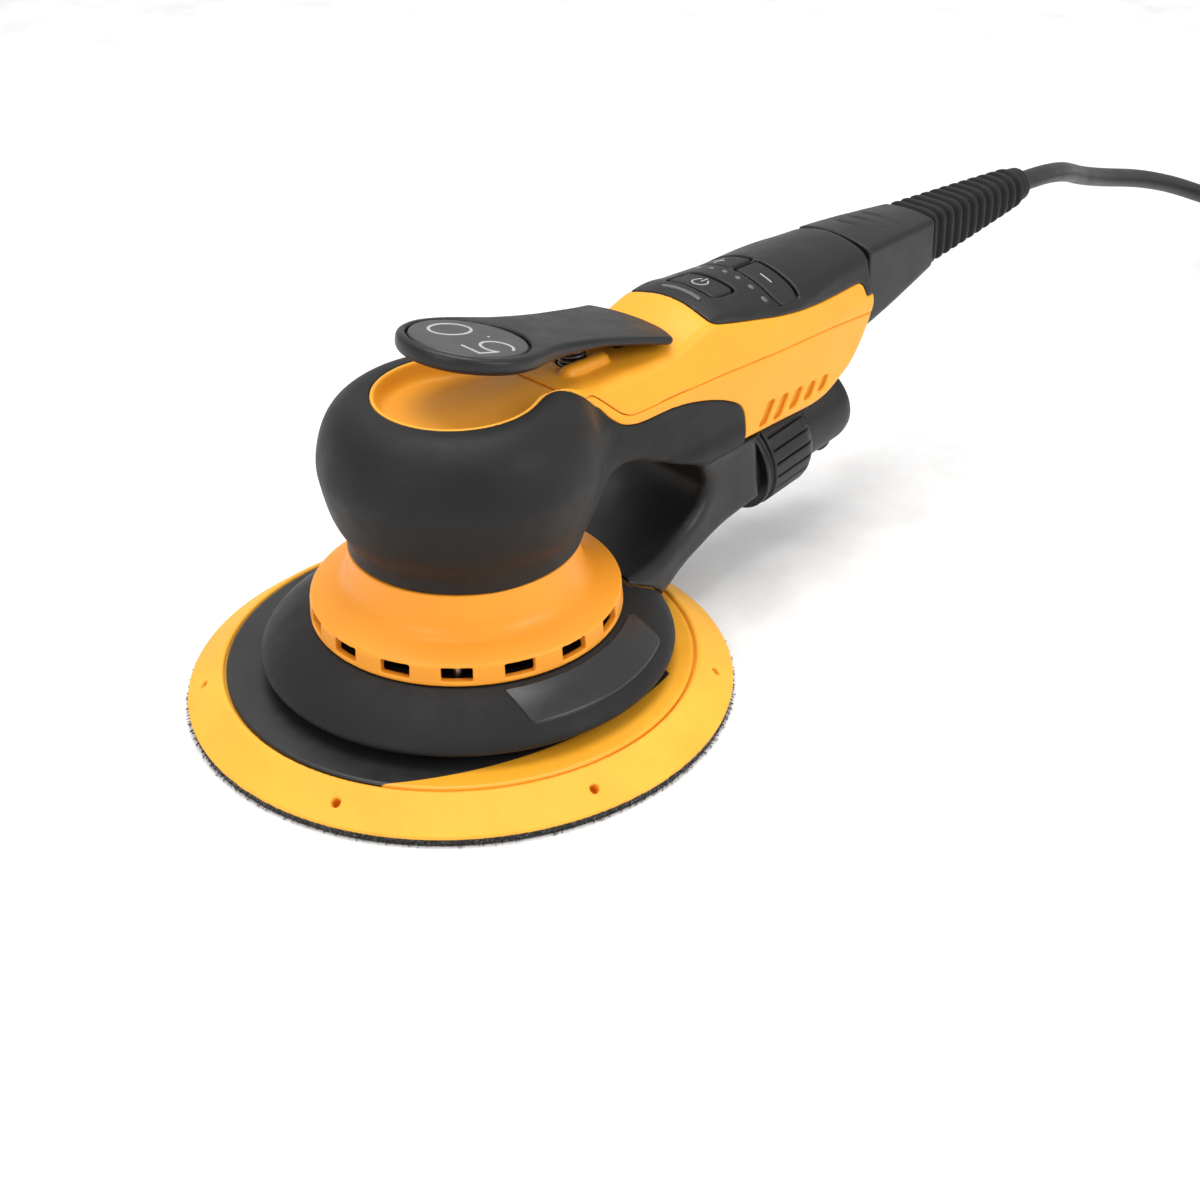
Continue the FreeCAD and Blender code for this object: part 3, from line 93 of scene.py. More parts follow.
def area_light(name, place, target, size, power):
    lamp = bpy.data.lights.new(name, "AREA")
    lamp.shape = "DISK"
    lamp.size = size
    lamp.energy = power
    light = bpy.data.objects.new(name, lamp)
    bpy.context.scene.collection.objects.link(light)
    aim(light, place, target)


def make_studio():
    middle = (0.05, 0, 0.05)
    area_light("top_softbox", (0.05, 0.15, 1.1), middle, 0.9, 8.5)
    area_light("front_softbox", (0.35, -1.1, 0.75), middle, 0.8, 6.5)
    area_light("left_softbox", (-1.1, -0.15, 0.7), middle, 0.6, 3.2)
    world = bpy.data.worlds.new("studio")
    world.use_nodes = True
    world.node_tree.nodes["Background"].inputs["Color"].default_value = (1, 1, 1, 1)
    world.node_tree.nodes["Background"].inputs["Strength"].default_value = 0.62
    bpy.context.scene.world = world
    bpy.context.scene.view_settings.view_transform = "Standard"

    half = 4.0
    mesh = bpy.data.meshes.new("floor")
    corners = [(-half, -half, 0), (half, -half, 0), (half, half, 0), (-half, half, 0)]
    mesh.from_pydata(corners, [], [(0, 1, 2, 3)])
    floor = bpy.data.objects.new("floor", mesh)
    floor.location.z = -0.0002
    bpy.context.scene.collection.objects.link(floor)
    mesh.materials.append(matte("floor_paper", (0.93, 0.93, 0.93), 0.6, grain=(900, 0.0001)))


# ---------- materials

def linear(code):
    """A colour given as sRGB hex digits, in linear light."""
    parts = [int(code[i:i + 2], 16) / 255 for i in (0, 2, 4)]
    return tuple(c / 12.92 if c <= 0.04045 else ((c + 0.055) / 1.055) ** 2.4 for c in parts)


class Nodes:
    """A small helper for wiring one material's nodes."""

    def __init__(self, name):
        self.material = bpy.data.materials.new(name)
        self.material.use_nodes = True
        self.tree = self.material.node_tree
        self.shader = self.tree.nodes["Principled BSDF"]
        self.where = self.add("ShaderNodeTexCoord").outputs["Object"]

    def add(self, kind, **inputs):
        node = self.tree.nodes.new(kind)
        for key, value in inputs.items():
            self.feed(node, key.replace("_", " "), value)
        return node

    def feed(self, node, key, value):
        if isinstance(value, bpy.types.NodeSocket):
            self.tree.links.new(value, node.inputs[key])
        else:
            node.inputs[key].default_value = value

    def colour(self, value):
        self.feed(self.shader, "Base Color", value)

    def roughness(self, value):
        self.feed(self.shader, "Roughness", value)

    def noise(self, scale, detail=4):
        node = self.add("ShaderNodeTexNoise", Vector=self.where, Scale=scale, Detail=detail)
        node.inputs["Roughness"].default_value = 0.55
        return node.outputs["Fac"]

    def span(self, value, low, high, start=0.3, end=0.7):
        """A value mapped from start..end to low..high, and held at its ends."""
        node = self.add("ShaderNodeMapRange", Value=value)
        for key, number in (("From Min", start), ("From Max", end), ("To Min", low), ("To Max", high)):
            node.inputs[key].default_value = number
        return node.outputs["Result"]

    def math(self, operation, first, second=0.0):
        node = self.tree.nodes.new("ShaderNodeMath")
        node.operation = operation
        for index, value in enumerate((first, second)):
            self.feed(node, index, value)
        return node.outputs[0]

    def mix(self, share, first, second):
        node = self.tree.nodes.new("ShaderNodeMix")
        node.data_type = "RGBA"
        self.feed(node, 0, share)
        for index, colour in ((6, first), (7, second)):
            if not isinstance(colour, bpy.types.NodeSocket):
                colour = (*colour[:3], 1)
            self.feed(node, index, colour)
        return node.outputs[2]

    def bump(self, height, depth):
        node = self.add("ShaderNodeBump", Height=height)
        node.inputs["Distance"].default_value = depth
        node.inputs["Strength"].default_value = 1.0
        self.tree.links.new(node.outputs["Normal"], self.shader.inputs["Normal"])


def matte(name, colour, roughness, grain, mottle=0.08, metallic=0.0, wear=None, specular=0.5,
          sheen=0.0, coat=0.0):
    """A moulded, cast or painted finish: mottled colour, uneven gloss, worn edges and a fine grain.

    `grain` is the scale of the grain and its depth in metres, and `mottle` how far the colour strays.
    """
    spread = 0.06
    nodes = Nodes(name)
    shader = nodes.shader
    broad = nodes.noise(38)
    dark = tuple(c * (1 - mottle) for c in colour)
    light = tuple(min(c * (1 + mottle), 1) for c in colour)
    tint = nodes.mix(nodes.span(broad, 0, 1), dark, light)
    if wear:
        edges = nodes.add("ShaderNodeNewGeometry").outputs["Pointiness"]
        worn = nodes.span(edges, 0, 0.5, 0.53, 0.62)
        patchy = nodes.math("MULTIPLY", worn, nodes.span(nodes.noise(260), 0.2, 1))
        tint = nodes.mix(patchy, tint, wear)
    nodes.colour(tint)
    gloss = nodes.span(nodes.noise(120, 6), max(roughness - spread, 0.05), min(roughness + spread, 1))
    nodes.roughness(gloss)
    shader.inputs["Metallic"].default_value = metallic
    shader.inputs["Specular IOR Level"].default_value = specular
    shader.inputs["Sheen Weight"].default_value = sheen
    shader.inputs["Coat Weight"].default_value = coat
    scale, depth = grain
    nodes.bump(nodes.noise(scale, 3), depth)
    return nodes.material


def brushed(name, colour, roughness, stretch):
    """Turned or drawn metal, with fine marks along one axis."""
    nodes = Nodes(name)
    lines = nodes.add("ShaderNodeMapping", Vector=nodes.where)
    lines.inputs["Scale"].default_value = stretch
    streaks = nodes.add("ShaderNodeTexNoise", Vector=lines.outputs["Vector"], Scale=60.0, Detail=6.0)
    marks = streaks.outputs["Fac"]
    shade = nodes.mix(nodes.span(marks, 0, 1), tuple(c * 0.8 for c in colour), colour)
    nodes.colour(shade)
    nodes.roughness(nodes.span(marks, roughness - 0.08, roughness + 0.1))
    nodes.shader.inputs["Metallic"].default_value = 1.0
    nodes.bump(marks, 0.00002)
    return nodes.material


def foam_finish():
    """Closed-cell polyurethane foam with a skin full of tiny pores, darkened by painted shade where the pores
    sink in.
    """
    nodes = Nodes("pad_foam_skin")
    pores = nodes.add("ShaderNodeTexVoronoi", Vector=nodes.where, Scale=1500.0).outputs["Distance"]
    broad = nodes.noise(45)
    tint = nodes.mix(nodes.span(broad, 0, 1), linear("F5AC2C"), linear("FFB93A"))
    # painted shade: each pore's colour darkens towards DE8F1C where the bump makes it deepest
    painted_pore_shade = nodes.span(pores, 0.25, 0, 0.05, 0.3)
    nodes.colour(nodes.mix(painted_pore_shade, tint, linear("DE8F1C")))
    nodes.roughness(nodes.span(broad, 0.55, 0.7))
    nodes.shader.inputs["Subsurface Weight"].default_value = 0.08
    nodes.shader.inputs["Subsurface Radius"].default_value = (0.004, 0.002, 0.0005)
    nodes.bump(nodes.span(pores, 0, 1, 0.0, 0.4), 0.00004)
    return nodes.material


def hook_finish():
    """The hook face: close rows of tiny dark hooks on a woven ground, with painted shade in the low ground
    between the raised hooks.
    """
    nodes = Nodes("hook_weave")
    rows = nodes.add("ShaderNodeTexVoronoi", Vector=nodes.where, Scale=900.0).outputs["Distance"]
    # painted shade: the colour follows the bump, darkest in the lows between the hooks and lighter on their
    # raised tops
    tint = nodes.mix(nodes.span(rows, 0, 1, 0.1, 0.6), (0.05, 0.048, 0.045), (0.012, 0.012, 0.012))
    nodes.colour(tint)
    nodes.roughness(nodes.span(nodes.noise(300), 0.75, 0.95))
    nodes.shader.inputs["Sheen Weight"].default_value = 0.3
    nodes.bump(nodes.span(rows, 1, 0, 0.1, 0.6), 0.0004)
    return nodes.material


def inside_circle(nodes, centre, radius):
    """1 inside a circle seen from above, 0 outside, with a crisp printed edge; in metres."""
    offset = nodes.add("ShaderNodeVectorMath", Vector=nodes.where).outputs["Vector"]
    node = offset.node
    node.operation = "SUBTRACT"
    node.inputs[1].default_value = (*centre, 0)
    flat = nodes.add("ShaderNodeMapping", Vector=offset)
    flat.inputs["Scale"].default_value = (1, 1, 0)
    reach = nodes.tree.nodes.new("ShaderNodeVectorMath")
    reach.operation = "LENGTH"
    nodes.tree.links.new(flat.outputs["Vector"], reach.inputs[0])
    edge = 0.0001
    return nodes.span(reach.outputs["Value"], 1, 0, radius - edge, radius + edge)


def print_finish():
    """The pad's top face: a black print that ends in a long curve on a yellow ground."""
    nodes = Nodes("pad_print_face")
    long_edge = inside_circle(nodes, (0.003, 0.046), 0.0975)
    short_edge = inside_circle(nodes, (-0.060, -0.010), 0.097)
    black = nodes.math("MULTIPLY", long_edge, short_edge)
    broad = nodes.noise(45)
    yellow = nodes.mix(nodes.span(broad, 0, 1), linear("EFA325"), linear("F7B02F"))
    ink = nodes.mix(nodes.span(broad, 0, 1), (0.012, 0.012, 0.013), (0.022, 0.022, 0.022))
    nodes.colour(nodes.mix(black, yellow, ink))
    nodes.roughness(nodes.span(nodes.noise(200), 0.32, 0.45))
    nodes.bump(nodes.noise(1500, 3), 0.00001)
    return nodes.material


def make_finishes():
    """One finish for each of the record's material slots, and the few extra ones that pieces need."""
    steel, bright = (0.55, 0.55, 0.56), (0.75, 0.75, 0.76)
    return {
        "hook_fabric": hook_finish(),
        "foam": foam_finish(),
        "pad_print": print_finish(),
        "yellow_plastic": matte("yellow_moulding", linear("FFAA2B"), 0.42, (2600, 0.000012), 0.035,
                                wear=linear("FFC460"), specular=0.35),
        "black_plastic": matte("black_moulding", (0.010, 0.010, 0.0102), 0.42, (2400, 0.00002), 0.12,
                               wear=(0.045, 0.045, 0.045), specular=0.4),
        "black_rubber": matte("soft_grip_rubber", (0.0085, 0.0085, 0.0086), 0.56, (2000, 0.00003), 0.15,
                              wear=(0.035, 0.035, 0.035), specular=0.28, sheen=0.03),
        "key_rubber": matte("key_rubber_skin", (0.012, 0.012, 0.0123), 0.5, (2200, 0.00002), 0.1,
                            wear=(0.045, 0.045, 0.045), specular=0.4),
        "lens": matte("lens_plastic", (0.11, 0.11, 0.115), 0.25, (900, 0.00001), 0.1, coat=0.3),
        "cord_rubber": matte("cord_sheath", (0.018, 0.018, 0.018), 0.48, (1500, 0.00003), 0.15),
        "steel": brushed("turned_steel", steel, 0.3, (1, 1, 30)),
        "spring_steel": brushed("spring_wire", (0.2, 0.2, 0.205), 0.35, (1, 1, 8)),
        "screw_steel": brushed("zinc_screws", (0.5, 0.5, 0.47), 0.32, (1, 1, 20)),
        "lamination": brushed("stacked_laminations", (0.4, 0.4, 0.42), 0.4, (1, 1, 60)),
        "copper": brushed("enamelled_copper", (0.72, 0.27, 0.1), 0.3, (12, 12, 1)),
        "aluminium": brushed("cast_aluminium", bright, 0.4, (1, 1, 6)),
        "magnet": matte("plated_magnet", (0.35, 0.35, 0.36), 0.3, (1200, 0.00002), 0.1, metallic=1.0),
        "circuit_board": matte("board_lacquer", (0.01, 0.09, 0.035), 0.35, (700, 0.00005), 0.25, coat=0.4),
        "component": matte("component_cases", (0.03, 0.03, 0.035), 0.4, (900, 0.00003), 0.3),
        "fan_plastic": matte("fan_nylon", (0.06, 0.06, 0.065), 0.5, (1100, 0.00003), 0.15),
        "plated_brass": brushed("plated_brass_pins", (0.78, 0.66, 0.42), 0.22, (8, 8, 8)),
        "ring_plastic": matte("orange_moulding", linear("F9A02C"), 0.4, (2600, 0.000012), 0.04,
                              wear=linear("FFB050"), specular=0.35),
        "disc": matte("brushed_disc", (0.045, 0.045, 0.046), 0.38, (1500, 0.00002), 0.1, specular=0.5),
        "hook_fibre": matte("hook_fibre", (0.012, 0.012, 0.012), 0.5, (3000, 0.00001), 0.2, specular=0.3),
        "print": matte("pale_print", (0.42, 0.42, 0.42), 0.5, (1500, 0.00001), 0.08),
        "label": matte("label_film", (0.02, 0.02, 0.021), 0.3, (1800, 0.00001), 0.1),
    }


# ---------- shaping with distance fields

def smin(a, b, k):
    """The union of two fields, with a fillet about k wide."""
    share = np.clip(0.5 + 0.5 * (b - a) / k, 0, 1)
    return b * (1 - share) + a * share - k * share * (1 - share)


def smax(a, b, k):
    """What two fields share, with its edge rounded over about k."""
    return -smin(-a, -b, k)


def through(*knots):
    """A smooth line through (place, value) knots, level beyond its ends."""
    places, values = np.array(knots, float).T
    slopes = np.gradient(values, places)

    def line(at):
        at = np.clip(at, places[0], places[-1])
        k = np.clip(np.searchsorted(places, at) - 1, 0, len(places) - 2)
        width = places[k + 1] - places[k]
        t = (at - places[k]) / width
        from_left = values[k] + t * width * slopes[k]
        from_right = values[k + 1] - (1 - t) * width * slopes[k + 1]
        ease = t * t * (3 - 2 * t)
        return from_left * (1 - ease) + from_right * ease

    return line


def softened(corners):
    """A closed outline of (u, v, reach) corners: each is rounded from `reach` before it to `reach` after."""
    points = []
    count = len(corners)
    for index, (u, v, reach) in enumerate(corners):
        here = np.array((u, v), float)
        arms = []
        for other in (corners[index - 1], corners[(index + 1) % count]):
            away = np.array(other[:2], float) - here
            length = np.hypot(*away)
            arms.append(here + away / length * min(reach, 0.48 * length))
        if reach == 0:
            points.append(here)
            continue
        for t in np.linspace(0, 1, 9):
            points.append((1 - t) ** 2 * arms[0] + 2 * t * (1 - t) * here + t * t * arms[1])
    return np.array(points)


def outline(corners, step=0.25):
    """The distance to a closed, softened outline, as a function of (u, v)."""
    points = softened(corners)
    margin = 12.0
    low = points.min(0) - margin
    count = np.ceil((points.max(0) + margin - low) / step).astype(int) + 1
    u = low[0] + step * np.arange(count[0])[:, None]
    v = low[1] + step * np.arange(count[1])[None, :]
    nearest = np.full(count, np.inf)
    inside = np.zeros(count, bool)
    for (u1, v1), (u2, v2) in zip(points, np.roll(points, -1, axis=0)):
        du, dv = u2 - u1, v2 - v1
        t = np.clip(((u - u1) * du + (v - v1) * dv) / max(du * du + dv * dv, 1e-12), 0, 1)
        nearest = np.minimum(nearest, (u - u1 - t * du) ** 2 + (v - v1 - t * dv) ** 2)
        if v1 != v2:
            inside ^= ((v1 > v) != (v2 > v)) & (u < u1 + (v - v1) * du / dv)
    table = np.where(inside, -1, 1) * np.sqrt(nearest)

    def distance(at_u, at_v):
        p = (at_u - low[0]) / step
        q = (at_v - low[1]) / step
        p_in, q_in = np.clip(p, 0, count[0] - 1.001), np.clip(q, 0, count[1] - 1.001)
        i, j = p_in.astype(int), q_in.astype(int)
        s, t = p_in - i, q_in - j
        near = (table[i, j] * (1 - s) + table[i + 1, j] * s) * (1 - t)
        near = near + (table[i, j + 1] * (1 - s) + table[i + 1, j + 1] * s) * t
        return near + step * np.hypot(p - p_in, q - q_in)

    return distance


def mirrored(half):
    """A whole outline from the corners of its half with v above zero."""
    return half + [(u, -v, reach) for u, v, reach in reversed(half) if v > 0]


def turned(corners, step=0.2):
    """A solid of revolution about Z from an outline of (radius, height, reach) corners."""
    section = outline(corners, step)
    return lambda x, y, z: section(np.hypot(x, y), z)


def slab(low, high, edge=0.3):
    """A block with rounded edges between two corners."""
    middle = [(a + b) / 2 for a, b in zip(low, high)]
    half = [(b - a) / 2 for a, b in zip(low, high)]

    def field(x, y, z):
        faces = [np.abs(at - m) - h for at, m, h in zip((x, y, z), middle, half)]
        return smax(smax(faces[0], faces[1], edge), faces[2], edge)

    return field


def split(body, zone, gap=0.3, edge=0.5):
    """The part of a body inside a zone, short of its border by half a gap."""
    return smax(body, zone + gap / 2, edge)


def without(body, tool, edge=0.4):
    return smax(body, -tool, edge)


CORNERS = [(i, j, k) for i in (0, 1) for j in (0, 1) for k in (0, 1)]
EDGES = [(a, b) for a in CORNERS for b in CORNERS
         if sum(b) == sum(a) + 1 and all(q >= p for p, q in zip(a, b))]


def at_corner(values, corner, cells):
    """The grid's values at one corner of every cell."""
    return values[tuple(slice(start, start + count) for start, count in zip(corner, cells))]


def crossing_points(grid, active, cells):
    """For each active cell, the mean of the points where the surface crosses its edges."""
    total = np.zeros((int(active.sum()), 3))
    hits = np.zeros(len(total))
    for a, b in EDGES:
        at_a, at_b = (at_corner(grid, c, cells)[active] for c in (a, b))
        crosses = (at_a < 0) != (at_b < 0)
        t = np.where(crosses, at_a / np.where(crosses, at_a - at_b, 1), 0)
        total += (np.array(a) + t[:, None] * (np.array(b) - np.array(a))) * crosses[:, None]
        hits += crosses
    return total / hits[:, None]


def settle(points, field, step):
    """Moves points onto the surface by Newton's method, and never further than a part of a cell."""
    nudge = 0.15 * step
    for _ in range(3):
        x, y, z = points.T
        here = field(x, y, z)
        slope = np.stack([
            field(x + nudge, y, z) - field(x - nudge, y, z),
            field(x, y + nudge, z) - field(x, y - nudge, z),
            field(x, y, z + nudge) - field(x, y, z - nudge),
        ], 1) / (2 * nudge)
        move = -here[:, None] * slope / np.maximum((slope ** 2).sum(1), 0.1)[:, None]
        length = np.linalg.norm(move, axis=1)
        points = points + move * np.minimum(1, 0.35 * step / np.maximum(length, 1e-9))[:, None]
    return points


def surface(field, low, high, step):
    """Vertices and quads of the field's surface in a box, by surface nets."""
    axes = [np.arange(a - step, b + 2 * step, step) for a, b in zip(low, high)]
    grid = field(axes[0][:, None, None], axes[1][None, :, None], axes[2][None, None, :])
    grid = np.ascontiguousarray(np.broadcast_to(grid, [len(a) for a in axes]))
    inside = grid < 0
    cells = [n - 1 for n in grid.shape]
    count = np.zeros(cells, np.int8)
    for c in CORNERS:
        count += at_corner(inside, c, cells)
    active = (count > 0) & (count < len(CORNERS))
    index = np.full(cells, -1)
    index[active] = np.arange(int(active.sum()))
    origin = np.array([axis[0] for axis in axes])
    points = origin + step * (np.argwhere(active) + crossing_points(grid, active, cells))
    points = settle(points, field, step)

    quads = []
    for along in range(3):
        e, f = (along + 1) % 3, (along + 2) % 3
        start = [slice(1, -1)] * 3
        start[along] = slice(0, -1)
        end = list(start)
        end[along] = slice(1, None)
        before, after = inside[tuple(start)], inside[tuple(end)]
        at = np.argwhere(before != after)
        leaving = before[before != after]
        at += [0 if axis == along else 1 for axis in range(3)]
        loop = []
        for de, df in ((0, 0), (-1, 0), (-1, -1), (0, -1)):
            cell = at.copy()
            cell[:, e] += de
            cell[:, f] += df
            loop.append(index[tuple(cell.T)])
        faces = np.stack(loop, 1)
        faces[~leaving] = faces[~leaving][:, ::-1]
        quads.append(faces)
    return points, np.concatenate(quads)


def mesh_object(name, points, quads, finish):
    """A smooth-shaded object from points in millimetres and four-cornered faces."""
    mesh = bpy.data.meshes.new(name)
    mesh.vertices.add(len(points))
    mesh.vertices.foreach_set("co", (np.asarray(points) * MM).astype(np.float32).ravel())
    mesh.loops.add(quads.size)
    mesh.loops.foreach_set("vertex_index", quads.astype(np.int32).ravel())
    mesh.polygons.add(len(quads))
    mesh.polygons.foreach_set("loop_start", np.arange(0, quads.size, 4, dtype=np.int32))
    mesh.polygons.foreach_set("use_smooth", np.ones(len(quads), bool))
    mesh.update(calc_edges=True)
    mesh.materials.append(FINISHES[finish])
    thing = bpy.data.objects.new(name, mesh)
    bpy.context.scene.collection.objects.link(thing)
    return thing


def settle_in(thing, body, nodes=()):
    """Puts a finished piece on its body, and hides the CAD nodes that it stands for."""
    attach(thing, body)
    if nodes:
        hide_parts(*nodes)
    return thing


def piece(name, field, low, high, step, body, slot, nodes=(), finish=None, place=None):
    """A mesh piece from a field. `place` takes its points from a frame of its own to the row frame."""
    points, quads = surface(field, low, high, step)
    if place:
        points = place(points)
    return settle_in(mesh_object(name, points, quads, finish or slot), body, nodes)


# ---------- the cord

CORD_RADIUS = 3.3
ROUTE = [
    (243, 0, 78.4), (265, 0, 78), (313.5, 19, 57.1), (365, 21.8, 42.6), (402, 14, 26),
    (436, 2, 10), (468, -12, 3.4), (486, -36, 3.4), (486, -64, 3.4),
]
COIL_CENTRE = (438, -66)
COIL_RADII = (47.9, 41.3, 34.7, 28.1)
POINTS_PER_TURN = 16
TURNS = 14.833
PLUG_TAIL_Z = 35.4      # height of the plug's tail


def ease(t):
    t = min(max(t, 0), 1)
    return t * t * (3 - 2 * t)


def coil_points():
    """Turns beside and on each other: inwards on the floor, outwards on the next layer, and so on."""
    slots = []
    for layer in range(4):
        radii = COIL_RADII if layer % 2 == 0 else COIL_RADII[::-1]
        slots += [(radius, CORD_RADIUS + 0.1 + 2 * CORD_RADIUS * layer) for radius in radii]
    points = []
    last_step = int(TURNS * POINTS_PER_TURN)
    rise, rising_steps = 2.0, 5
    for step in range(2, last_step + 1):
        turn, part = divmod(step / POINTS_PER_TURN, 1)
        shift = ease((part - 0.75) / 0.25)
        radius, height = (a + (b - a) * shift for a, b in zip(slots[int(turn)], slots[int(turn) + 1]))
        height += rise * ease(1 - (last_step - step) / rising_steps)
        angle = -2 * math.pi * part
        x = COIL_CENTRE[0] + radius * math.cos(angle)
        y = COIL_CENTRE[1] + radius * math.sin(angle)
        points.append((x, y, height))
    return points


def tail_points():
    """The last stretch: off the top turn, round over the coil and into the plug's tail."""
    centre, radius = (5.65, 9.79), 30.0
    first, last, steps = 46, -70, 4
    low, high = 25.2, PLUG_TAIL_Z
    head_start, climb = 0.2, 1.05
    points = []
    for step in range(steps + 1):
        share = step / steps
        angle = math.radians(first + (last - first) * share)
        x = COIL_CENTRE[0] + centre[0] + radius * math.cos(angle)
        y = COIL_CENTRE[1] + centre[1] + radius * math.sin(angle)
        points.append((x, y, low + (high - low) * min((share + head_start) / climb, 1)))
    return points


def make_cord():
    points = ROUTE + coil_points() + tail_points()
    curve = bpy.data.curves.new("mains_cord_run", "CURVE")
    curve.dimensions = "3D"
    line = curve.splines.new("NURBS")
    line.points.add(len(points) - 1)
    for knot, (x, y, z) in zip(line.points, points):
        knot.co = (x * MM, y * MM, z * MM, 1)
    line.order_u = 3
    line.use_endpoint_u = True
    curve.resolution_u = 8
    curve.bevel_depth = CORD_RADIUS * MM
    curve.bevel_resolution = 5
    curve.use_fill_caps = True
    curve.materials.append(FINISHES["cord_rubber"])
    cord = bpy.data.objects.new("mains_cord_run", curve)
    bpy.context.scene.collection.objects.link(cord)
    return settle_in(cord, "housing", ("mains_cord", "cord_coil"))


# ---------- the outer form of head and handle

# Lines along the handle, by x: its crown, the edge of its top, its seam with the cover, and its lower flank.
SEAM_Z = 72.0
HANDLE_END = 149.4
CROWN = through((14, 82.4), (30, 82.6), (46, 83), (60, 83.6), (67, 85), (79, 89.4), (94, 90.4), (108, 90.4),
                (127, 90), (139, 89.6), (150, 89.2))
SHOULDER = through((14, 14.5), (30, 15.6), (46, 16), (60, 16.2), (79.5, 16.6), (94, 18.6), (108, 19.4),
                   (118, 18.6), (127, 17.4), (139, 15.6), (150, 14.4))
SHOULDER_Z = through((14, 80.4), (30, 81.2), (46, 81.8), (60, 82.3), (67, 83.4), (79.5, 86.6), (94, 85),
                     (108, 83.6), (118, 84.4), (127, 85.4), (139, 85.7), (150, 85.8))
SEAM_WIDTH = through((14, 18), (30, 19.6), (46, 20), (80, 20.1), (108, 20.6), (127, 19.6), (139, 18.3),
                     (151, 16.9))
LOW_WIDTH = through((14, 17), (30, 18.6), (46, 18.6), (60, 18.5), (108, 18.5), (127, 17.9), (139, 16.8),
                    (151, 15.6))
LOW_DROP = 20.0      # from the seam down to the lower flank
WALL = 2.4
handle_side = outline([
    (-10, 96, 0), (-10, 58, 0), (46, 57, 4), (60, 50.5, 7), (79, 46, 10), (127, 46.2, 8), (134, 49.6, 4),
    (141, 53, 5), (147.4, 61.6, 5), (151.2, 70.6, 3), (149.4, 78, 3), (HANDLE_END, 96, 0),
])
head = turned([
    (-10, 45.6, 0), (30.8, 45.6, 0.8), (31, 50, 3), (34.6, 56.5, 4), (36.4, 64, 5), (37.6, 71.5, 7),
    (34.6, 82, 8), (28, 87.4, 5), (21.5, 88.3, 2), (-10, 88.3, 0),
])


def handle(x, y, z):
    side = np.abs(y)
    shoulder, shoulder_z, seam = SHOULDER(x), SHOULDER_Z(x), SEAM_WIDTH(x)
    crown = CROWN(x)
    top = z - crown + (crown - shoulder_z) * (side / shoulder) ** 2
    upper = shoulder + (seam - shoulder) * (shoulder_z - z) / (shoulder_z - SEAM_Z)
    lower = seam + (LOW_WIDTH(x) - seam) * (SEAM_Z - z) / LOW_DROP
    crease, shoulder_edge, end_edge = 0.6, 2.4, 3.2
    flank = side - smin(upper, lower, crease)
    return smax(smax(flank, top, shoulder_edge), handle_side(x, z), end_edge)


def bowl(x, y, z):
    """The dish in the top of the head, open along the neck."""
    radius, floor, flare = 19.4, 83.1, 0.35
    neck_start, neck_end, neck_half_width = 10, 50, 15.2
    round_part = np.hypot(x, y) - radius
    neck_part = smax(smax(neck_start - x, x - neck_end, 2), np.abs(y) - neck_half_width, 2)
    plan = smin(round_part, neck_part, 1.5)
    return smax(plan - flare * (z - 83), floor - z, 2.2)


HOSE_TILT = math.radians(7.9)
HOSE_FOOT = (104.0, 0.0, 29.4)


def hose_radius_at(x, y, z):
    """Distance from the hose fitting's axis, and the place along it."""
    dx, dz = x - HOSE_FOOT[0], z - HOSE_FOOT[2]
    along = dx * math.cos(HOSE_TILT) + dz * math.sin(HOSE_TILT)
    off = -dx * math.sin(HOSE_TILT) + dz * math.cos(HOSE_TILT)
    return np.hypot(off, y), along


def outside(x, y, z):
    """The whole outer form: head, neck and handle, with the bowl and the collar's channel cut away."""
    upper_fillet, lower_fillet, widest_z, narrowest_z = 6, 18, 50, 64
    share = np.clip((narrowest_z - z) / (narrowest_z - widest_z), 0, 1)
    neck_fillet = upper_fillet + (lower_fillet - upper_fillet) * share
    form = smin(head(x, y, z), handle(x, y, z), neck_fillet)
    form = without(form, bowl(x, y, z), 0.9)
    radius, along = hose_radius_at(x, y, z)
    channel_radius, channel_start = 17.9, -3
    return without(form, smax(radius - channel_radius, channel_start - along, 0.5), 0.6)


# Side views of where the yellow plastic, the cover and the panel begin.
yellow_side = outline([
    (19, 112, 0), (19.6, 89, 2), (24.6, 85.8, 3), (31.5, 80, 5), (38, 71.6, 5), (46, 68.5, 6), (62, 69, 9),
    (78, 65, 9), (89, 59.5, 5), (91.4, 52, 4), (90.6, 36, 0), (180, 36, 0), (180, 112, 0),
])
cover_side = outline([
    (24, 112, 0), (24, 83, 0), (33, 80.9, 2), (42.6, 71.9, 4), (60, 72.2, 6), (124, 71.2, 12), (152, 67.6, 0),
    (180, 66, 0), (180, 112, 0),
])
panel_side = outline([
    (78.4, 112, 0), (79.2, 86.4, 5), (119, 80, 12), (146.8, 79, 2.6), (149, 74, 0), (180, 70, 0),
    (180, 112, 0),
])


def yellow_zone(x, y, z):
    rim_radius, rim_floor, neck_half_width, neck_start, neck_end = 22.2, 79, 17.4, 10, 46
    rim = np.hypot(x, y) - rim_radius
    neck = smax(np.abs(y) - neck_half_width, smax(neck_start - x, x - neck_end, 2), 2)
    return smin(yellow_side(x, z), smax(smin(rim, neck, 3), rim_floor - z, 0.5), 2.5)


def panel_zone(x, y, z):
    bow, half_width = 3.2, 17
    return panel_side(x + bow * (y / half_width) ** 2, z)


# ---------- duct under the handle

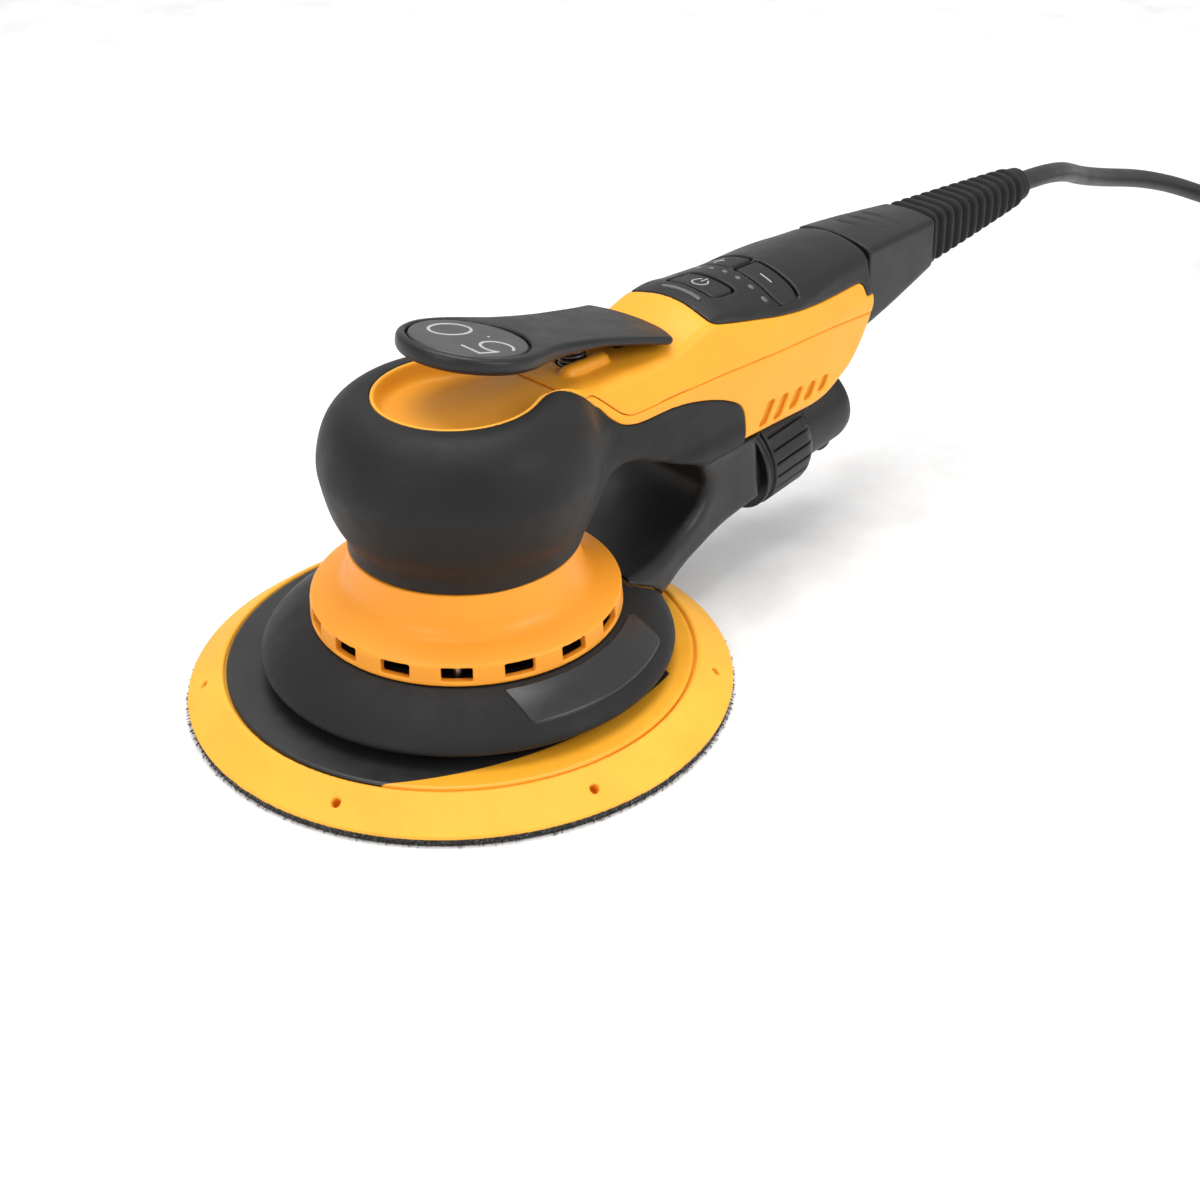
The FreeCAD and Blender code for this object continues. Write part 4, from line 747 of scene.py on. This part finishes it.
DUCT_WIDTH = through((37, 25.5), (46, 24.6), (54, 23.4), (62, 21.2), (74, 18.9), (82, 17.6), (92, 16.9),
                     (104, 16.2))
duct_side = outline([
    (36, 9, 0), (36, 25.5, 0), (50, 25, 8), (68, 28.5, 10), (77.5, 36, 7), (73.5, 45, 4), (62, 52, 0),
    (62, 60, 0), (99, 60, 0), (102.8, 22.6, 0.8), (90, 21.2, 6), (70, 17.2, 8), (52, 12.6, 4), (44, 9, 0),
])
SKIRT_TOP = [(42.6, 25.1, 0.5), (49, 22, 6), (54.8, 17.6, 4), (56.8, 14.6, 1.4)]
skirt = turned([(36, 24, 0), (36, 25.3, 0)] + SKIRT_TOP + [
    (55.6, 13.1, 0.8), (54, 13.1, 0.6), (53.2, 15, 1), (48, 19.6, 4), (42, 22.8, 2),
])
skirt_block = turned([(-10, 5, 0), (-10, 25.3, 0)] + SKIRT_TOP + [(56.8, 5, 0)])


GRIP_FLOOR = 45.5      # where the rubber grip meets the duct
ring_block = turned([
    (-10, 20, 0), (42.3, 20, 0), (42, 31.5, 0.8), (39.4, 32.6, 3), (34.6, 35.6, 4), (32.2, 41, 4),
    (31.2, 50, 0), (-10, 50, 0),
])


def duct_form(x, y, z):
    flank = np.abs(y) - DUCT_WIDTH(x)
    long_edge = 5
    return smax(duct_side(x, z), flank, long_edge)


def with_duct(x, y, z):
    """The outer form, with the top of the duct blended in below it."""
    blend_top, fillet = 50, 4
    return smin(outside(x, y, z), smax(duct_form(x, y, z), z - blend_top, 3), fillet)


def duct(x, y, z):
    form = smax(with_duct(x, y, z), z - GRIP_FLOOR, 0.25)
    duct_start, bore_radius, bore_start, wall, roof = 36, 13.7, -10, 2.0, 43.3
    form = smax(form, duct_start - x, 1)
    form = without(form, skirt_block(x, y, z) - 0.15, 0.5)
    form = without(form, ring_block(x, y, z) - 0.5, 0.6)
    radius, along = hose_radius_at(x, y, z)
    form = without(form, smax(radius - bore_radius, bore_start - along, 0.3), 0.3)
    hollow = smax(duct_form(x, y, z) + wall, z - roof, 1)
    return without(form, hollow, 0.4)


# ---------- the pieces of the housing

VENT_SLOTS = 5
GRID = 0.55      # the mesh step of large pieces


def side_vents(x, y, z):
    """Slanted vent pockets in both sides of the lower housing, deeper towards the head."""
    first, pitch, slant, half_width = 97.6, 6.3, 0.42, 1.75
    low_z, high_z, deepest, slope = 48.6, 56.2, 3.2, 0.5
    wall = LOW_WIDTH(x) + (SEAM_WIDTH(x) - LOW_WIDTH(x)) * (z - SEAM_Z + LOW_DROP) / LOW_DROP
    pockets = None
    for index in range(VENT_SLOTS):
        slanted = x - first - pitch * index - slant * (z - 50)
        low_end = low_z + 0.55 * index * (index > 1)
        ends = smax(z - high_z + 0.2 * index, low_end - z, 0.5)
        pocket = smax(np.abs(slanted - 1.7) - half_width, ends, 1.4)
        depth = deepest - slope * slanted
        pocket = smax(pocket, wall - depth - np.abs(y), 0.3)
        pockets = pocket if pockets is None else np.minimum(pockets, pocket)
    return pockets


def lower_housing(x, y, z):
    body = split(outside(x, y, z), yellow_zone(x, y, z), 0.12, 0.45)
    body = without(body, cover_side(x, z) - 0.14, 0.35)
    body = without(body, panel_zone(x, y, z) - 0.12, 0.45)
    return without(body, side_vents(x, y, z), 0.35)


def housing_shell(x, y, z):
    wall, ceiling = 2.6, 79.6
    room = smax(outside(x, y, z) + wall, z - ceiling, 1)
    return without(lower_housing(x, y, z), room, 0.5)


SPRING_X = 41.0      # the lever's spring


def rib_bump(x, y, z):
    """The pill-shaped rib on the neck, under the lever."""
    start, end, middle_y, middle_z, radius = 34.5, 46.5, -5.4, 83.2, 2.3
    along = np.clip(x, start, end) - x
    return np.sqrt(along ** 2 + (y - middle_y) ** 2 + ((z - middle_z) * 1.1) ** 2) - radius


def upper_cover(x, y, z):
    body = smin(outside(x, y, z), rib_bump(x, y, z), 0.8)
    body = split(body, cover_side(x, z), 0.14, 0.35)
    body = smax(body, yellow_zone(x, y, z), 0.4)
    body = without(body, panel_zone(x, y, z) - 0.12, 0.45)
    well_radius, well_floor = 4.6, 80
    well = smax(np.hypot(x - SPRING_X, y) - well_radius, well_floor - z, 0.3)
    body = without(body, well, 0.6)
    return without(body, outside(x, y, z) + WALL, 0.5)


def grip(x, y, z):
    form = with_duct(x, y, z)
    body = without(form, yellow_zone(x, y, z) - 0.06, 0.45)
    body = smax(body, GRIP_FLOOR - z, 0.3)
    return without(body, form + WALL, 0.5)


def add_housing():
    piece("grip_rubber", grip, (-39, -39, 44.8), (93, 39, 89), GRID, "housing", "black_rubber", ["head_grip"])
    piece("lower_housing", housing_shell, (-23, -23, 45), (152, 23, 90), GRID, "housing", "yellow_plastic",
          ["main_housing"])
    piece("upper_cover", upper_cover, (22, -22, 64), (152, 22, 92), GRID, "housing", "yellow_plastic",
          ["handle_cover"])
    piece("exhaust_duct_shell", duct, (39, -27, 12), (104, 27, 46.5), GRID, "housing", "black_plastic",
          ["exhaust_duct"])


# ---------- control panel and keys

key_plans = {
    "power_key": outline(mirrored([(87.0, 8.8, 1.6), (95.6, 8.8, 1.6)])),
    "plus_key": outline([(104.8, 0.9, 0.6), (104.8, 16.8, 1.6), (106.6, 18.9, 2.4), (111.6, 18.9, 3.4),
                         (113.8, 15.5, 3.4), (113.8, 0.9, 0.6)]),
}
key_plans["minus_key"] = lambda x, y: key_plans["plus_key"](x, -y)
LED_X, LED_PITCH, LED_COUNT = 101.4, 5.0, 7
LIGHT_BAR_X = 83.0
POWER_SIGN_X = 91.3
SIGN_STROKE = 0.25      # half the width of a sign's lines


def bar_plan(x, y):
    bow, half_length, half_width = 2.2, 6.6, 0.65
    off = x - LIGHT_BAR_X - 0.8 + bow * (y / 17) ** 2
    return np.hypot(off, np.maximum(np.abs(y) - half_length, 0)) - half_width


def led_plan(x, y):
    place = np.clip(np.round(y / LED_PITCH), -(LED_COUNT // 2), LED_COUNT // 2) * LED_PITCH
    return np.hypot((x - LED_X) / 0.7, y - place) - 1.0


def panel(x, y, z):
    key_gap, key_floor = 0.75, 83.8
    body = split(outside(x, y, z) + 0.05, panel_zone(x, y, z), 0.12, 0.45)
    for plan in key_plans.values():
        body = without(body, smax(plan(x, y) - key_gap, key_floor - z, 0.3), 0.4)
    body = without(body, smax(bar_plan(x, y), 86 - z, 0.1), 0.15)
    body = without(body, smax(led_plan(x, y), 82 - z, 0.1), 0.15)
    return without(body, outside(x, y, z) + WALL, 0.5)


def key_field(name):
    def field(x, y, z):
        return smax(smax(key_plans[name](x, y), outside(x, y, z) + 0.15, 0.9), 83.6 - z, 0.3)
    return field


def raised_print(plan, proud, depth):
    """A thin raised mark on the outer surface, from its plan."""
    def field(x, y, z):
        form = outside(x, y, z)
        return smax(smax(plan(x, y), form - proud, 0.12), -form - depth, 0.1)
    return field


def stroke_plan(strokes, half_width):
    """The distance to a set of (x1, y1, x2, y2) strokes, less half their width."""
    def plan(x, y):
        best = None
        for x1, y1, x2, y2 in strokes:
            dx, dy = x2 - x1, y2 - y1
            t = np.clip(((x - x1) * dx + (y - y1) * dy) / (dx * dx + dy * dy + 1e-9), 0, 1)
            away = np.hypot(x - x1 - t * dx, y - y1 - t * dy)
            best = away if best is None else np.minimum(best, away)
        return best - half_width
    return plan


def power_sign(x, y):
    """An open ring with a bar through its gap."""
    x = x - POWER_SIGN_X
    radius, half_gap = 2.3, 1.0
    ring = np.abs(np.hypot(x, y) - radius) - SIGN_STROKE
    gap = smax(np.abs(y) - half_gap, -x, 0.1)
    bar = stroke_plan([(0.6, 0, 3.0, 0)], SIGN_STROKE)(x, y)
    return np.minimum(smax(ring, -gap, 0.1), bar)


def add_panel():
    piece("control_panel_cap", panel, (77, -22, 72), (150, 22, 92), GRID, "housing", "black_plastic",
          ["control_panel"])
    for name in key_plans:
        low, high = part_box(name)
        low = [v / MM - 1 for v in low]
        high = [v / MM + 1 for v in high]
        piece(name + "_cap", key_field(name), low, high, 0.3, name, "key_rubber", [name])
    piece("light_bar_lens", raised_print(bar_plan, 0.02, 2), (81, -9, 84), (86, 9, 92), 0.25,
          "housing", "lens", ["light_bar"])
    piece("speed_led_lenses", raised_print(led_plan, -0.02, 2), (100, -18, 81), (103, 18, 92), 0.25,
          "housing", "lens", ["speed_leds"])
    signs = {
        "power_key": (power_sign, (88, -3.2, 86), (95, 3.2, 92)),
        "plus_key": (stroke_plan([(107, 9, 111, 9), (109, 7, 109, 11)], SIGN_STROKE),
                     (106, 6, 84), (112, 12, 92)),
        "minus_key": (stroke_plan([(109, -11, 109, -7)], SIGN_STROKE), (106, -12, 84), (112, -6, 92)),
    }
    for name, (plan, low, high) in signs.items():
        piece(name + "_sign", raised_print(plan, -0.1, 0.6), low, high, 0.12, name, "key_rubber",
              finish="print")


# ---------- the start lever

LEVER_DISC = (5.0, 101.3)      # x and z of the disc's middle
LEVER_TILT = math.radians(12.2)
lever_tail = outline(mirrored([
    (-2, 14.5, 2), (10, 15.2, 8), (30, 12.2, 14), (50, 14.6, 12), (60.4, 17.0, 2.2), (64.6, 9, 9),
    (65.4, 0.01, 4),
]))


def lever_frame(x, y, z):
    """Along, across and above the lever's top face, which bends down a little towards its rear."""
    dx, dz = x - LEVER_DISC[0], z - LEVER_DISC[1]
    along = dx * math.cos(LEVER_TILT) - dz * math.sin(LEVER_TILT)
    above = dx * math.sin(LEVER_TILT) + dz * math.cos(LEVER_TILT)
    sag, lift = 0.00035, 0.35
    return along, y, above + sag * (along ** 2) - lift


def lever_plan(along, across):
    round_radius, waist = 18.5, 7
    return smin(np.hypot(along, across) - round_radius, lever_tail(along, across), waist)


def lever_plate(x, y, z):
    along, across, above = lever_frame(x, y, z)
    front, rear, recess_radius, recess_depth = 4.9, 2.8, 16.2, 1.8
    thick = front - (front - rear) * np.clip((along - 8) / 30, 0, 1) ** 1.5
    plan = lever_plan(along, across)
    crown = 0.0012 * across ** 2
    top_edge, lower_edge = 1.7, 2.4
    body = smax(smax(plan, above + crown, top_edge), -above - thick, lower_edge)
    recess = smax(np.hypot(along, across) - recess_radius, -above - recess_depth, 0.4)
    body = without(body, recess, 0.6)
    ear = slab((54.5, -3.9, 77.4), (63, 3.9, 86), 1.5)(x, y, z)
    return smin(body, ear, 1.5)


def disc_top(along, across):
    """How far the disc's slightly tilted top lies below the lever's top."""
    return 0.3 - 0.25 * np.clip((across - along) / 22, -1, 1)


def inlay(x, y, z):
    along, across, above = lever_frame(x, y, z)
    radius, depth = 15.5, 2.2
    rim = np.hypot(along, across) - radius
    return smax(smax(rim, above + disc_top(along, across), 0.7), -above - depth, 0.3)


def arc(centre, radii, start, end, steps=16):
    """Points along an arc of an ellipse, between two angles in degrees."""
    angles = [math.radians(start + (end - start) * step / steps) for step in range(steps + 1)]
    return [(centre[0] + radii[0] * math.cos(a), centre[1] + radii[1] * math.sin(a)) for a in angles]


def figure_plan():
    """The figure 5.0, in (right, up), as it is read from the handle."""
    five_x, zero_x, point = -8.2, 7.2, (-1.0, -6.0)
    five = [(five_x + 3.6, 6.2), (five_x - 3.0, 6.2), (five_x - 3.7, 0.9)]
    belly = arc((five_x - 0.3, -2.1), (4.3, 4.3), 142, -148)
    zero = arc((zero_x, 0), (4.4, 6.3), 0, 360, 32)
    lines = five + belly, zero, [point, (point[0] + 0.01, point[1])]
    strokes = [(*first, *second) for line in lines for first, second in zip(line, line[1:])]
    return stroke_plan(strokes, 0.42)


speed_figure = figure_plan()


def figure(x, y, z):
    along, across, above = lever_frame(x, y, z)
    half_thickness = 0.12
    return smax(speed_figure(across, -along), np.abs(above + disc_top(along, across)) - half_thickness, 0.08)


def add_lever():
    piece("lever_plate", lever_plate, (-15, -19.5, 76), (68, 19.5, 107), 0.5, "lever", "black_plastic",
          ["lever"])
    piece("lever_disc", inlay, (-12, -17, 94), (22, 17, 107), 0.4, "lever", "black_plastic", ["lever_inlay"],
          finish="disc")
    piece("speed_figure", figure, (-8, -16, 95), (18, 16, 107), 0.16, "lever", "black_plastic",
          finish="print")


# ---------- pad, skirt and vent ring

PAD_CENTRE = (-1.9, 1.6)
SIDE_HOLE_ANGLES = (50, 103, 158, 216, 265, 313, 2)
HOOKS = 640
SLOT_COUNT = 16


def pad_foam(x, y, z):
    x, y = x - PAD_CENTRE[0], y - PAD_CENTRE[1]
    radius = np.hypot(x, y)
    body = foam_section(radius, z)
    foot_radius, foot_height, hole_radius, hole_depth = 70.3, 6.2, 1.3, 4.0
    normal_out, normal_up = 0.6, 0.8
    for degrees in SIDE_HOLE_ANGLES:
        u, w = math.cos(math.radians(degrees)), -math.sin(math.radians(degrees))
        out, up = x * u + y * w - foot_radius, z - foot_height
        off = np.hypot(x * w - y * u, normal_out * up - normal_up * out)
        inward = -normal_out * out - normal_up * up
        body = without(body, smax(off - hole_radius, inward - hole_depth, 0.2), 0.3)
    return body


foam_section = outline([
    (30, 1.85, 0), (74.9, 1.85, 0.5), (75, 2.7, 0.5), (65.6, 9.75, 0.8), (64.6, 9.5, 0.4), (64.5, 8.3, 0.1),
    (30, 8.3, 0),
], 0.15)


disc_section = outline([(27, 8.35, 0), (63.9, 8.35, 0.2), (63.9, 9.75, 0.5), (27, 9.75, 0)], 0.15)


def pad_disc(x, y, z):
    """The printed cover on the foam. Its middle, hidden under the skirt, is left open."""
    return disc_section(np.hypot(x - PAD_CENTRE[0], y - PAD_CENTRE[1]), z)


def add_hooks():
    """The loose hooks that stand out round the edge of the hook face."""
    draw = random.Random(150)
    points, quads = [], []
    sides, steps, thickness, edge, lowest = 4, 8, 0.1, 74.4, 0.12
    for index in range(HOOKS):
        angle = 2 * math.pi * (index + draw.random()) / HOOKS
        lean = draw.uniform(-0.6, 0.6)
        reach = draw.uniform(0.3, 1.1)
        height = draw.uniform(0.3, 1.5)
        curl = draw.uniform(0.2, 0.4)
        twist = draw.uniform(1.5, 4.2)
        path = []
        for step in range(steps):
            t = step / (steps - 1)
            out = edge + reach * min(t * 1.6, 1) + curl * math.sin(twist * t)
            up = height + 0.2 - 0.2 * t + curl * (math.cos(twist * t) - 1) * 0.6
            side = angle + lean * t / 75 * 1.6
            x = PAD_CENTRE[0] + out * math.cos(side)
            y = PAD_CENTRE[1] + out * math.sin(side)
            path.append(np.array((x, y, max(up, lowest))))
        add_tube(points, quads, path, thickness, sides)
    thing = mesh_object("hook_fringe", np.array(points), np.array(quads), "hook_fibre")
    settle_in(thing, "pad")


def add_pad():
    low, high = (-78, -75, 1.4), (75, 78, 10.4)
    piece("pad_print_disc", pad_disc, low, high, 0.6, "pad", "pad_print", ["pad_cover_plate"])
    piece("pad_foam_ring", pad_foam, low, high, 0.62, "pad", "foam", ["pad_foam"])
    add_hooks()


def add_tube(points, quads, path, radius, sides):
    """A thin open tube along a path, added to lists of points and quads."""
    first = len(points)
    for step, here in enumerate(path):
        ahead = path[min(step + 1, len(path) - 1)] - path[max(step - 1, 0)]
        across = np.cross(ahead, (0.3, 0.2, 1.0))
        across /= np.linalg.norm(across) + 1e-9
        second = np.cross(ahead, across)
        second /= np.linalg.norm(second) + 1e-9
        for side in range(sides):
            turn = 2 * math.pi * side / sides
            points.append(here + radius * (math.cos(turn) * across + math.sin(turn) * second))
    for step in range(len(path) - 1):
        for side in range(sides):
            a = first + step * sides + side
            b = first + step * sides + (side + 1) % sides
            quads.append((a, b, b + sides, a + sides))


ring_section = turned([
    (29, 45.5, 0.2), (31.1, 45.5, 0.3), (31.2, 40.5, 4), (32.8, 34.8, 4), (38.6, 32.6, 3), (42.0, 31.3, 0.8),
    (42.3, 25.45, 0.5), (40.2, 25.45, 0.4), (39.9, 29.6, 2), (32, 31.6, 4), (29, 38, 3),
], 0.15)


def vent_ring(x, y, z):
    body = ring_section(x, y, z)
    pitch = 2 * math.pi / SLOT_COUNT
    angle = np.arctan2(y, x)
    off = (angle + pitch / 2) % pitch - pitch / 2
    across = np.hypot(x, y) * np.sin(off)
    half_width, half_height, middle_z, inner_radius = 4.1, 1.95, 28.8, 34
    slot = smax(np.abs(across) - half_width, np.abs(z - middle_z) - half_height, 0.5)
    return without(body, smax(slot, inner_radius - np.hypot(x, y), 0.3), 0.3)


def skirt_piece(x, y, z):
    body = skirt(x, y, z)
    return without(body, smax(duct_form(x, y, z) + 0.1, z - 44, 0.3), 0.3)


def label_plate(x, y, z):
    """A blank film on the skirt, where the rating label goes."""
    radius = np.hypot(x, y)
    middle_angle, middle_radius = math.radians(-85), 48.6
    half_length, half_width, proud, depth = 26.5, 4.7, 0.45, 0.8
    across = radius * (np.arctan2(y, x) - middle_angle)
    plan = smax(np.abs(across) - half_length, np.abs(radius - middle_radius) - half_width, 1.2)
    form = skirt_block(x, y, z)
    return smax(smax(plan, form - proud, 0.25), -form - depth, 0.1)


def add_skirt():
    piece("vent_ring_bell", vent_ring, (-43, -43, 24.8), (43, 43, 46), 0.4, "housing", "yellow_plastic",
          ["vent_ring"], finish="ring_plastic")
    piece("dust_skirt", skirt_piece, (-57.5, -57.5, 12), (57.5, 57.5, 26), 0.5, "housing", "black_rubber",
          ["dust_shroud"])
    piece("rating_film", label_plate, (-32, -56, 12), (34, -36, 27), 0.25, "housing", "black_rubber",
          finish="label")


# ---------- hose fitting, connector and strain relief

COLLAR_RIBS = 24


def from_hose_frame(points):
    """Points made about Z, laid along the hose fitting's slanted axis."""
    u, v, along = points.T
    x = HOSE_FOOT[0] + along * math.cos(HOSE_TILT) - u * math.sin(HOSE_TILT)
    z = HOSE_FOOT[2] + along * math.sin(HOSE_TILT) + u * math.cos(HOSE_TILT)
    return np.stack([x, -v, z], 1)


collar_section = turned([
    (12.6, 0, 0), (16.6, 0, 0.3), (16.6, 1.6, 0.3), (15.9, 1.9, 0.2), (15.9, 3.0, 0.2), (17, 3.4, 0.3),
    (17, 19, 2), (14.6, 22.6, 1.2), (13.4, 22.8, 0), (12.6, 22.8, 0),
])
tube_section = turned([
    (11.2, -5, 0.3), (13.2, -5, 0.3), (13.2, 40.6, 2), (12.2, 43.4, 0.8), (11.2, 43.4, 0.3), (11.2, 30, 0),
])


def collar(u, v, along):
    body = collar_section(u, v, along)
    pitch = 2 * math.pi / COLLAR_RIBS
    angle = np.arctan2(v, u)
    off = (angle % pitch) - pitch / 2
    across = np.hypot(u, v) * np.sin(off)
    half_width, floor_radius, start, end, facet_radius = 0.35, 15.9, 4.2, 20.6, 16.95
    groove = smax(np.abs(across) - half_width, floor_radius - np.hypot(u, v), 0.2)
    groove = smax(groove, smax(start - along, along - end, 0.4), 0.3)
    facet = np.hypot(u, v) * np.cos((angle + pitch / 2) % pitch - pitch / 2) - facet_radius
    return without(smax(body, facet, 0.3), groove, 0.3)


def hose_tube(u, v, along):
    """The tube that the hose goes in, with two lobes of its latch below it."""
    bore, outer, half_width = 11.2, 13.2, 4.2
    body = tube_section(u, v, along)
    for start, length, reach in ((26.2, 6, 3.0), (35.4, 7.6, 3.2)):
        hump = np.hypot(u + outer - 1, along - start - length / 2) - length / 2 - 0.4
        hump = smax(hump, np.abs(v) - half_width, 1.4)
        body = smin(body, smax(hump, -u - outer - reach, 1.2), 1.2)
    return without(body, np.hypot(u, v) - bore, 0.4)


def add_hose():
    box = (-17.6, -17.6, -0.6), (17.6, 17.6, 23.4)
    piece("hose_collar_ribbed", collar, *box, 0.36, "hose", "black_plastic", ["hose_collar"],
          place=from_hose_frame)
    box = (-17.6, -14, -5.6), (14, 14, 44)
    piece("hose_tube_end", hose_tube, *box, 0.4, "hose", "black_plastic", ["hose_tube"],
          place=from_hose_frame)


CONNECTOR_WIDTH = through((149.6, 14.3), (160, 13.4), (172, 12.0), (186, 10.2))
CONNECTOR_TOP = through((149.6, 88.6), (160, 88.0), (172, 87.1), (186, 85.9))
CONNECTOR_FLOOR = through((149.6, 61.4), (160, 63.4), (172, 65.8), (186, 68.6))


def connector(x, y, z):
    """The mains connector, with three finger grooves across its top."""
    side = np.abs(y) - CONNECTOR_WIDTH(x) + 0.012 * (z - 76)
    top = z - CONNECTOR_TOP(x) + 2.2 * (y / 14) ** 2
    body = smax(smax(side, top, 1.6), CONNECTOR_FLOOR(x) - z, 3)
    middle_x, half_length, first, pitch, groove_radius = 167.85, 18.15, 159.4, 6.2, 0.85
    body = smax(body, np.abs(x - middle_x) - half_length, 0.7)
    for index in range(3):
        round_part = np.hypot(x - first - pitch * index, z - CONNECTOR_TOP(x) - 0.1) - groove_radius
        groove = smax(round_part, np.abs(y) - 8.8 + 0.7 * index, 0.8)
        body = without(body, groove, 0.35)
    return body


RELIEF_START = (186.3, 77.2)
RELIEF_END = (243.1, 78.4)


def strain_relief(x, y, z):
    """A tapering sleeve with ribs all round, nearly square at its start and round at its end."""
    t = np.clip((x - RELIEF_START[0]) / (RELIEF_END[0] - RELIEF_START[0]), 0, 1)
    axis_z = RELIEF_START[1] + (RELIEF_END[1] - RELIEF_START[1]) * t
    power = 5.5 - 3.5 * t
    reach_y, reach_z = 9.4 - 3.3 * t, 8.9 - 2.9 * t
    off = (np.abs(y / reach_y) ** power + np.abs((z - axis_z) / reach_z) ** power) ** (1 / power)
    first_rib, pitch, last_rib, deep, shallow = 188.4, 4.45, 238.5, 1.5, 0.6
    wave = np.cos(2 * np.pi * (x - first_rib) / pitch)
    plain = 1 / (1 + np.exp(-(x - last_rib) * 4))
    depth = deep * (1 - plain) * np.clip(0.5 - 0.75 * wave, 0, 1) + shallow * plain
    body = (off - 1) * (reach_y + reach_z) / 2 + depth
    middle_x, half_length, bore = 214.75, 28.4, CORD_RADIUS + 0.05
    body = smax(body, np.abs(x - middle_x) - half_length, 0.7)
    return without(body, np.hypot(y, z - axis_z) - bore, 0.3)


def add_mains_entry():
    piece("connector_body", connector, (149, -15.5, 60), (187, 15.5, 90), 0.5, "housing", "black_plastic",
          ["mains_connector"])
    piece("cord_sleeve", strain_relief, (185.5, -10, 66), (244, 10, 88), 0.42, "housing", "black_rubber",
          ["strain_relief"])


# ---------- the mains plug on the coil

PLUG_PLACE = (435.1, -91.2, 27.2)
PLUG_TURN = math.radians(200)
plug_side = through((-20, 5.0), (-14, 5.6), (-8, 11.5), (-2, 14.6), (10, 15.6), (16, 15.0))
plug_half = through((-20, 4.8), (-14, 5.4), (-8, 7.6), (-2, 8.2), (10, 8.3), (16, 7.6))


def plug_body(u, v, w):
    middle_height, middle_u, half_length, groove_depth, groove_half = 8.3, -2, 18, 0.9, 0.6
    round_body = smax(np.abs(v) - plug_side(u), np.abs(w - middle_height) - plug_half(u), 3)
    body = smax(round_body, np.abs(u - middle_u) - half_length, 1.2)
    for place in (-1, 2.5, 6, 9.5):
        groove = smax(np.abs(u - place) - groove_half, plug_side(u) - groove_depth - np.abs(v), 0.3)
        body = without(body, groove, 0.4)
    return body


def from_plug_frame(points):
    u, v, w = points.T
    x = PLUG_PLACE[0] + u * math.cos(PLUG_TURN) - v * math.sin(PLUG_TURN)
    y = PLUG_PLACE[1] + u * math.sin(PLUG_TURN) + v * math.cos(PLUG_TURN)
    return np.stack([x, y, PLUG_PLACE[2] + w], 1)


def add_plug():
    box = (-21, -17, -1), (17, 17, 18)
    piece("mains_plug_body", plug_body, *box, 0.5, "housing", "black_plastic", ["mains_plug"],
          place=from_plug_frame)


# ---------- putting it together

def dress_frame():
    """Gives every CAD node that stays in view the finish of its material slot."""
    for node in frame["nodes"].values():
        for index, slot in enumerate(node.material_slots):
            slot_name = slot.material.name.split(".")[0]
            node.material_slots[index].material = FINISHES[slot_name]


make_camera()
FINISHES = make_finishes()
cord = make_cord()
dress_frame()
make_studio()
add_housing()
add_panel()
add_lever()
add_pad()
add_skirt()
add_hose()
add_mains_entry()
add_plug()
